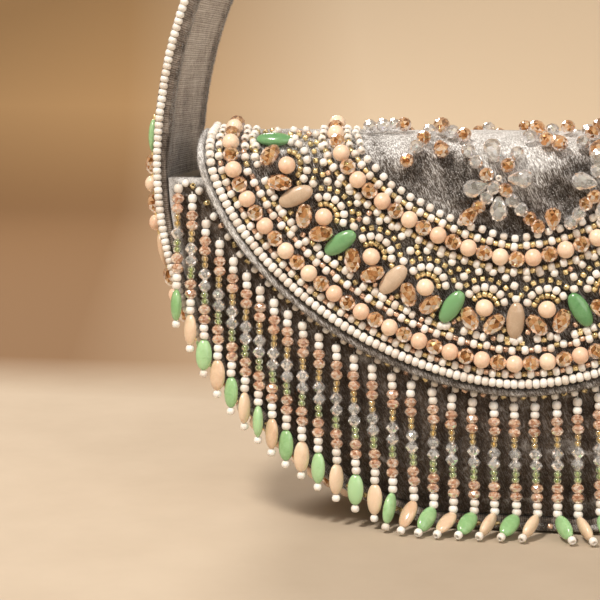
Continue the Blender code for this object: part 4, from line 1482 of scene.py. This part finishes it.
def make_side_string(name, side):
    """Oval, champagne and round beads down the band's outer face, with a loose line of seeds beside them."""
    batch = Batch(name + "_beads", "bag", "peach_beads")
    stations = side_path(side)
    # The ovals, which have no material in the list, are green and beige in turn
    whole = stations[2][-1]
    repeat = whole / SIDE_STRING_REPEATS
    for i in range(SIDE_STRING_REPEATS):
        for share, form, material, wide, high, half in SIDE_STRING_BEADS:
            p, facing, along = station_at(stations, (i + share) * repeat)
            material = material or (PALE_GREEN if i % 2 == 0 else PALE_BEIGE)
            centre = p + facing * (SEAM_GAP + high)
            batch.add(form, material, centre, jitter(along, 0.05), facing, high, wide, half)
        for share in (0.0, 0.32, 0.495, 0.665, 0.835):
            p, facing, along = station_at(stations, (i + share) * repeat + 0.0002)
            centre = p + facing * (SEAM_GAP + 0.0014)
            batch.add_round(TINY, GOLD, centre, jitter(along, 0.1), facing, 0.0009, 0.0009)
    for offset in (-SIDE_SEED_OFFSET, SIDE_SEED_OFFSET):
        count = int(whole / 0.0029)
        for i in range(count):
            p, facing, along = station_at(stations, (i + 0.5) * whole / count)
            across = along.cross(facing).normalized()
            p = p + across * (offset + rng.uniform(-0.0003, 0.0003))
            if abs(p.y) > SIDE_SEED_LIMIT:
                continue
            material = WHITE if i % 2 else rng.choice((GOLD, COPPER))
            way = jitter(along, 0.15)
            if material is WHITE:
                batch.add_round(SEED, WHITE, p + facing * 0.0014, way, facing, 0.0012, 0.001)
            else:
                batch.add_round(TINY, material, p + facing * 0.0011, way, facing, 0.0009, 0.0009)
    batch.build(name)


# Flowers and leaves: pixel places in the photograph, carried onto the flap along the camera's rays


def camera_axes():
    """The camera's directions forward, right and up."""
    level = math.cos(CAMERA_PITCH)
    forward = Vector((math.sin(CAMERA_YAW) * level, math.cos(CAMERA_YAW) * level, -math.sin(CAMERA_PITCH)))
    right = Vector((math.cos(CAMERA_YAW), -math.sin(CAMERA_YAW), 0))
    return forward, right, right.cross(forward)


def on_flap(u, v):
    """Where the ray through a pixel meets the flap's face: (x, drop)."""
    forward, right, up = camera_axes()
    across, down = ((place - PHOTO_SIZE / 2) / CAMERA_FOCAL_PX for place in (u, v))
    ray = forward + right * across - up * down
    low, high = 0.3, 0.7
    for _ in range(50):
        middle = (low + high) / 2
        p = CAMERA_AT + ray * middle
        drop = RIDGE_Z - p.z
        hit = p.z < RIDGE_Z and -p.y < flap_section(max(drop, 0))[0] + 0.001
        if hit:
            high = middle
        else:
            low = middle
    p = CAMERA_AT + ray * high
    return p.x, max(RIDGE_Z - p.z, 0.0006)


# Kind, pixel, and pixel that the bead points towards
FLOWER_BEADS = (
    ("seed", (499, 178), (499, 190)), ("petal", (476, 187), (494, 181)), ("petal", (499, 208), (499, 190)),
    ("petal", (493, 159), (497, 172)), ("petal", (521, 178), (505, 178)), ("clear", (494, 187), (499, 178)),
    ("clear", (487, 197), (499, 178)), ("clear", (476.5, 166), (499, 178)),
    ("clear", (468.5, 158), (476, 166)), ("clear", (512, 200), (499, 178)),
    ("clear", (521, 209), (512, 200)), ("clear", (517, 160), (499, 178)), ("amber", (487, 174), (499, 178)),
    ("amber", (508, 168), (499, 178)), ("amber", (506, 189.5), (499, 178)),
    ("amber", (479, 206), (470, 215)), ("leaf", (470, 215), (479, 206)), ("amber", (530, 218), (538, 226)),
    ("amber", (538, 226), (530, 218)), ("leaf", (553, 218), (553, 230)), ("clear", (579, 213), (571, 222)),
    ("clear", (571, 222), (579, 213)), ("amber", (586, 203), (579, 213)), ("petal", (584, 181), (600, 184)),
    ("seed", (605, 187), (605, 195)), ("petal", (622, 190), (608, 187)), ("petal", (604, 208), (604, 192)),
    ("petal", (600, 166), (604, 180)), ("amber", (594, 196), (604, 188)), ("clear", (616, 174), (604, 188)),
    ("amber", (614, 202), (604, 188)), ("clear", (597, 172), (604, 188)), ("leaf", (538, 139), (548, 146)),
    ("leaf", (558, 152), (550, 144)), ("amber", (568, 136), (556, 142)), ("amber", (546, 150), (550, 144)),
    ("clear", (552, 140), (540, 140)), ("clear", (530, 146), (538, 143)), ("amber", (592, 143), (584, 148)),
    ("clear", (583, 152), (590, 146)), ("amber", (596, 160), (590, 152)), ("leaf", (441, 136), (438, 147)),
    ("leaf", (441, 155), (438, 147)), ("amber", (424, 148), (438, 147)), ("amber", (407, 164), (415, 156)),
    ("amber", (464, 143), (452, 146)), ("clear", (452, 140), (438, 147)), ("clear", (430, 141), (438, 147)),
    ("clear", (417, 155), (407, 164)), ("clear", (370, 135), (378, 137)), ("clear", (383, 134), (378, 137)),
    ("clear", (394, 134), (386, 137)), ("amber", (404, 133), (395, 135)),
)

# Form, material, radius, upward share of it, half length and looseness of each faceted kind
FLOWER_KINDS = {
    "petal": (TEARDROP, CLEAR, 0.0029, 0.86, 0.0038, 0.2),
    "leaf": (TEARDROP, AMBER, 0.0026, 0.9, 0.0034, 0.3),
    "clear": (RONDELLE, CLEAR, 0.00225, 1.0, 0.00225 * 0.95, 0.3),
    "amber": (RONDELLE, AMBER, 0.00225, 1.0, 0.00225 * 0.95, 0.3),
}
FLOWER_SEED_RADIUS = 0.0011

# Beads that show over the ridge: kind, pixel column where they show, and how far behind the fold they are
CROWN_BEADS = (
    ("amber", 475, 0.0165), ("clear", 486, 0.0130), ("amber", 497, 0.0185), ("amber", 524, 0.0110),
    ("amber", 536, 0.0150), ("clear", 546, 0.0175), ("amber", 590, 0.0145), ("clear", 579, 0.0190),
    ("clear", 388, 0.0160), ("amber", 402, 0.0180), ("clear", 606, 0.0130),
)


def make_crown():
    """Beads sewn on the flap's top just behind the ridge; on the left half they mirror those on the right."""
    batch = Batch("crown_beads", "flap_bridge", "clear_beads")
    radius = CROWN_BEAD_RADIUS
    for side in (1, -1):
        for kind, column, behind in CROWN_BEADS:
            x = on_flap(column, 133)[0] * side
            if side < 0 and x > -0.022:
                continue
            surface = RIDGE_Z - BRIDGE_FALL * (behind / BRIDGE_REACH) ** 2
            centre = Vector((x, -FOLD_FORWARD + behind, surface + radius + 0.0003))
            material = AMBER if kind == "amber" else CLEAR
            way = jitter((1, 0, 0), 0.5)
            batch.add_round(RONDELLE, material, centre, way, (0, 0, 1), radius, radius * 0.95)
    batch.build()


def make_flowers():
    """Flowers, leaves and single beads on the velvet field; those of its left part are mirrored to the right."""
    batch = Batch("flower_beads", "flap_front", "clear_beads")
    for side in (1, -1):
        for kind, at, towards in FLOWER_BEADS:
            x, drop = on_flap(*at)
            to_x, to_drop = on_flap(*towards)
            if side < 0 and x > -0.020:
                continue
            p, facing = flap_point(x * side, drop, 0)
            along = flap_point(to_x * side, to_drop, 0)[0] - p
            if along.length < 1e-5:
                along = Vector((1, 0, 0))
            radius = FLOWER_SEED_RADIUS if kind == "seed" else FLOWER_KINDS[kind][2]
            centre = p + facing * (radius + 0.0005 + max(swell(x * side, drop), 0))
            if kind == "seed":
                batch.add_round(SEED, WHITE, centre + facing * 0.0008, facing, along, radius, 0.0012)
                continue
            form, material, _, up_share, half, loose = FLOWER_KINDS[kind]
            way = -along if form is TEARDROP else along
            batch.add(form, material, centre, way, jitter(facing, loose), radius * up_share, radius, half)
    batch.build()


# All pieces, in the order that the random draws follow


for name, material in (("band_stiffener", BOARD), ("magnet_socket", STEEL), ("magnet_stud", STEEL)):
    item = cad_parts[name]
    item.data.materials.clear()
    item.data.materials.append(material)

make_band()
make_panel("front_panel", -1)
make_panel("back_panel", 1)
make_mouth_pile()
make_gusset()

for place, side in (("front", -1), ("back", 1)):
    make_lining_side(place, side)

make_flap()
make_flap_edge()
make_seam_roll()
make_rows()
make_ring("outer_ring_beads", OUTER_RING_INSET, OUTER_RING_BEADS, 0, "outer_bead_ring")
make_ring("inner_ring_beads", INNER_RING_INSET, INNER_RING_BEADS, 1, "inner_bead_ring")
make_garland()
fill_between()
make_flowers()
make_crown()
make_header()
make_rim("rim_beads_front", -RIM_Y)
make_rim("rim_beads_back", RIM_Y)
make_side_string("side_string_left", -1)
make_side_string("side_string_right", 1)
for strand in range(-FRINGE_PER_SIDE, FRINGE_PER_SIDE + 1):
    make_strand(strand)


# Floor, light and camera


def make_stage():
    """A floor that rises into a wall in one sweep. The wall is a darker tan with painted shade low down on its
    left, and painted light makes it paler to the right.
    """
    material, tree, shader = new_material("pale_floor")
    place = object_place(tree)
    grain = noise_of(tree, place, 26.0, 4.0, 0.6)
    axes = node(tree, "ShaderNodeSeparateXYZ", {0: place}).outputs
    floor = ramp(tree, grain, ((0.3, (0.475, 0.385, 0.288)), (0.7, (0.515, 0.422, 0.32))))
    slant = maths(tree, "MULTIPLY_ADD", axes[1], 0.25, axes[0])
    # Painted shade and light on the wall: darkest low down on the left, paler to the right.
    height = stretch(tree, axes[2], 0.0, 0.10, 0.0, 1.0)
    left = blend_colours(tree, height, (0.20, 0.106, 0.041), (0.47, 0.284, 0.128))
    wall = blend_colours(tree, stretch(tree, slant, -0.17, 0.14, 0.0, 1.0), left, (0.76, 0.605, 0.43))
    colour = blend_colours(tree, stretch(tree, axes[1], 0.15, 0.24, 0.0, 1.0), floor, wall)
    tree.links.new(colour, shader.inputs["Base Color"])
    set_inputs(shader, Roughness=0.85)
    section = [(-8.0 + 9.0 * i / 15, 0.0) for i in range(16)]
    for i in range(16, 41):
        a = math.pi / 2 * (i - 15) / 25
        section.append((1.0 + 0.9 * math.sin(a), 0.9 - 0.9 * math.cos(a)))
    section.append((1.9, 4.0 + STAGE_ROOM))
    across = (-8.0, -4.0, -1.5, 0.0, 1.5, 4.0, 8.0)
    rows = [[Vector((x, y, z - STAGE_ROOM)) for x in across] for y, z in section]
    item = bpy.data.objects.new("studio_sweep", sheet_mesh("studio_sweep", rows, material))
    bpy.context.scene.collection.objects.link(item)


def aim(item, at, way):
    """Puts a light or the camera at a place, looking along a direction."""
    item.location = at
    item.rotation_mode = "QUATERNION"
    item.rotation_quaternion = way.to_track_quat("-Z", "Y")
    bpy.context.scene.collection.objects.link(item)


def make_light(name, at, size, power, colour):
    data = bpy.data.lights.new(name, "AREA")
    data.shape = "DISK"
    data.size = size
    data.energy = power
    data.color = colour
    aim(bpy.data.objects.new(name, data), at, Vector((0, 0, 0.1)) - Vector(at))


def make_sky(tree):
    """A soft even light; where it is seen itself, past the edge of the floor, it has the backdrop's colour."""
    light = tree.nodes["Background"]
    light.inputs[0].default_value = (0.95, 0.90, 0.84, 1)
    light.inputs[1].default_value = 0.39
    seen = node(tree, "ShaderNodeBackground", {0: (0.60, 0.43, 0.27, 1), 1: 0.9})
    rays = node(tree, "ShaderNodeLightPath").outputs
    first = maths(tree, "MAXIMUM", rays["Is Camera Ray"], rays["Is Glossy Ray"])
    share = maths(tree, "MAXIMUM", first, rays["Is Transmission Ray"])
    mixed = node(tree, "ShaderNodeMixShader", {0: share})
    tree.links.new(light.outputs[0], mixed.inputs[1])
    tree.links.new(seen.outputs[0], mixed.inputs[2])
    tree.links.new(mixed.outputs[0], tree.nodes["World Output"].inputs["Surface"])


make_stage()
make_light("key", (-0.50, -0.80, 1.35), 0.26, 21.5, (1.0, 0.93, 0.84))
make_light("fill", (1.0, -1.4, 1.1), 1.7, 14.5, (1.0, 0.95, 0.9))
make_light("back", (-0.6, 0.9, 1.0), 0.5, 12.0, (1.0, 0.94, 0.86))
world = bpy.data.worlds.new("studio")
world.use_nodes = True
make_sky(world.node_tree)
bpy.context.scene.world = world
bpy.context.scene.view_settings.view_transform = "Standard"

camera_data = bpy.data.cameras.new("camera")
camera_data.sensor_width = 36.0
camera_data.lens = CAMERA_FOCAL_PX / PHOTO_SIZE * camera_data.sensor_width
camera_data.clip_start = 0.01
camera = bpy.data.objects.new("camera", camera_data)
aim(camera, CAMERA_AT, camera_axes()[0])
bpy.context.scene.camera = camera
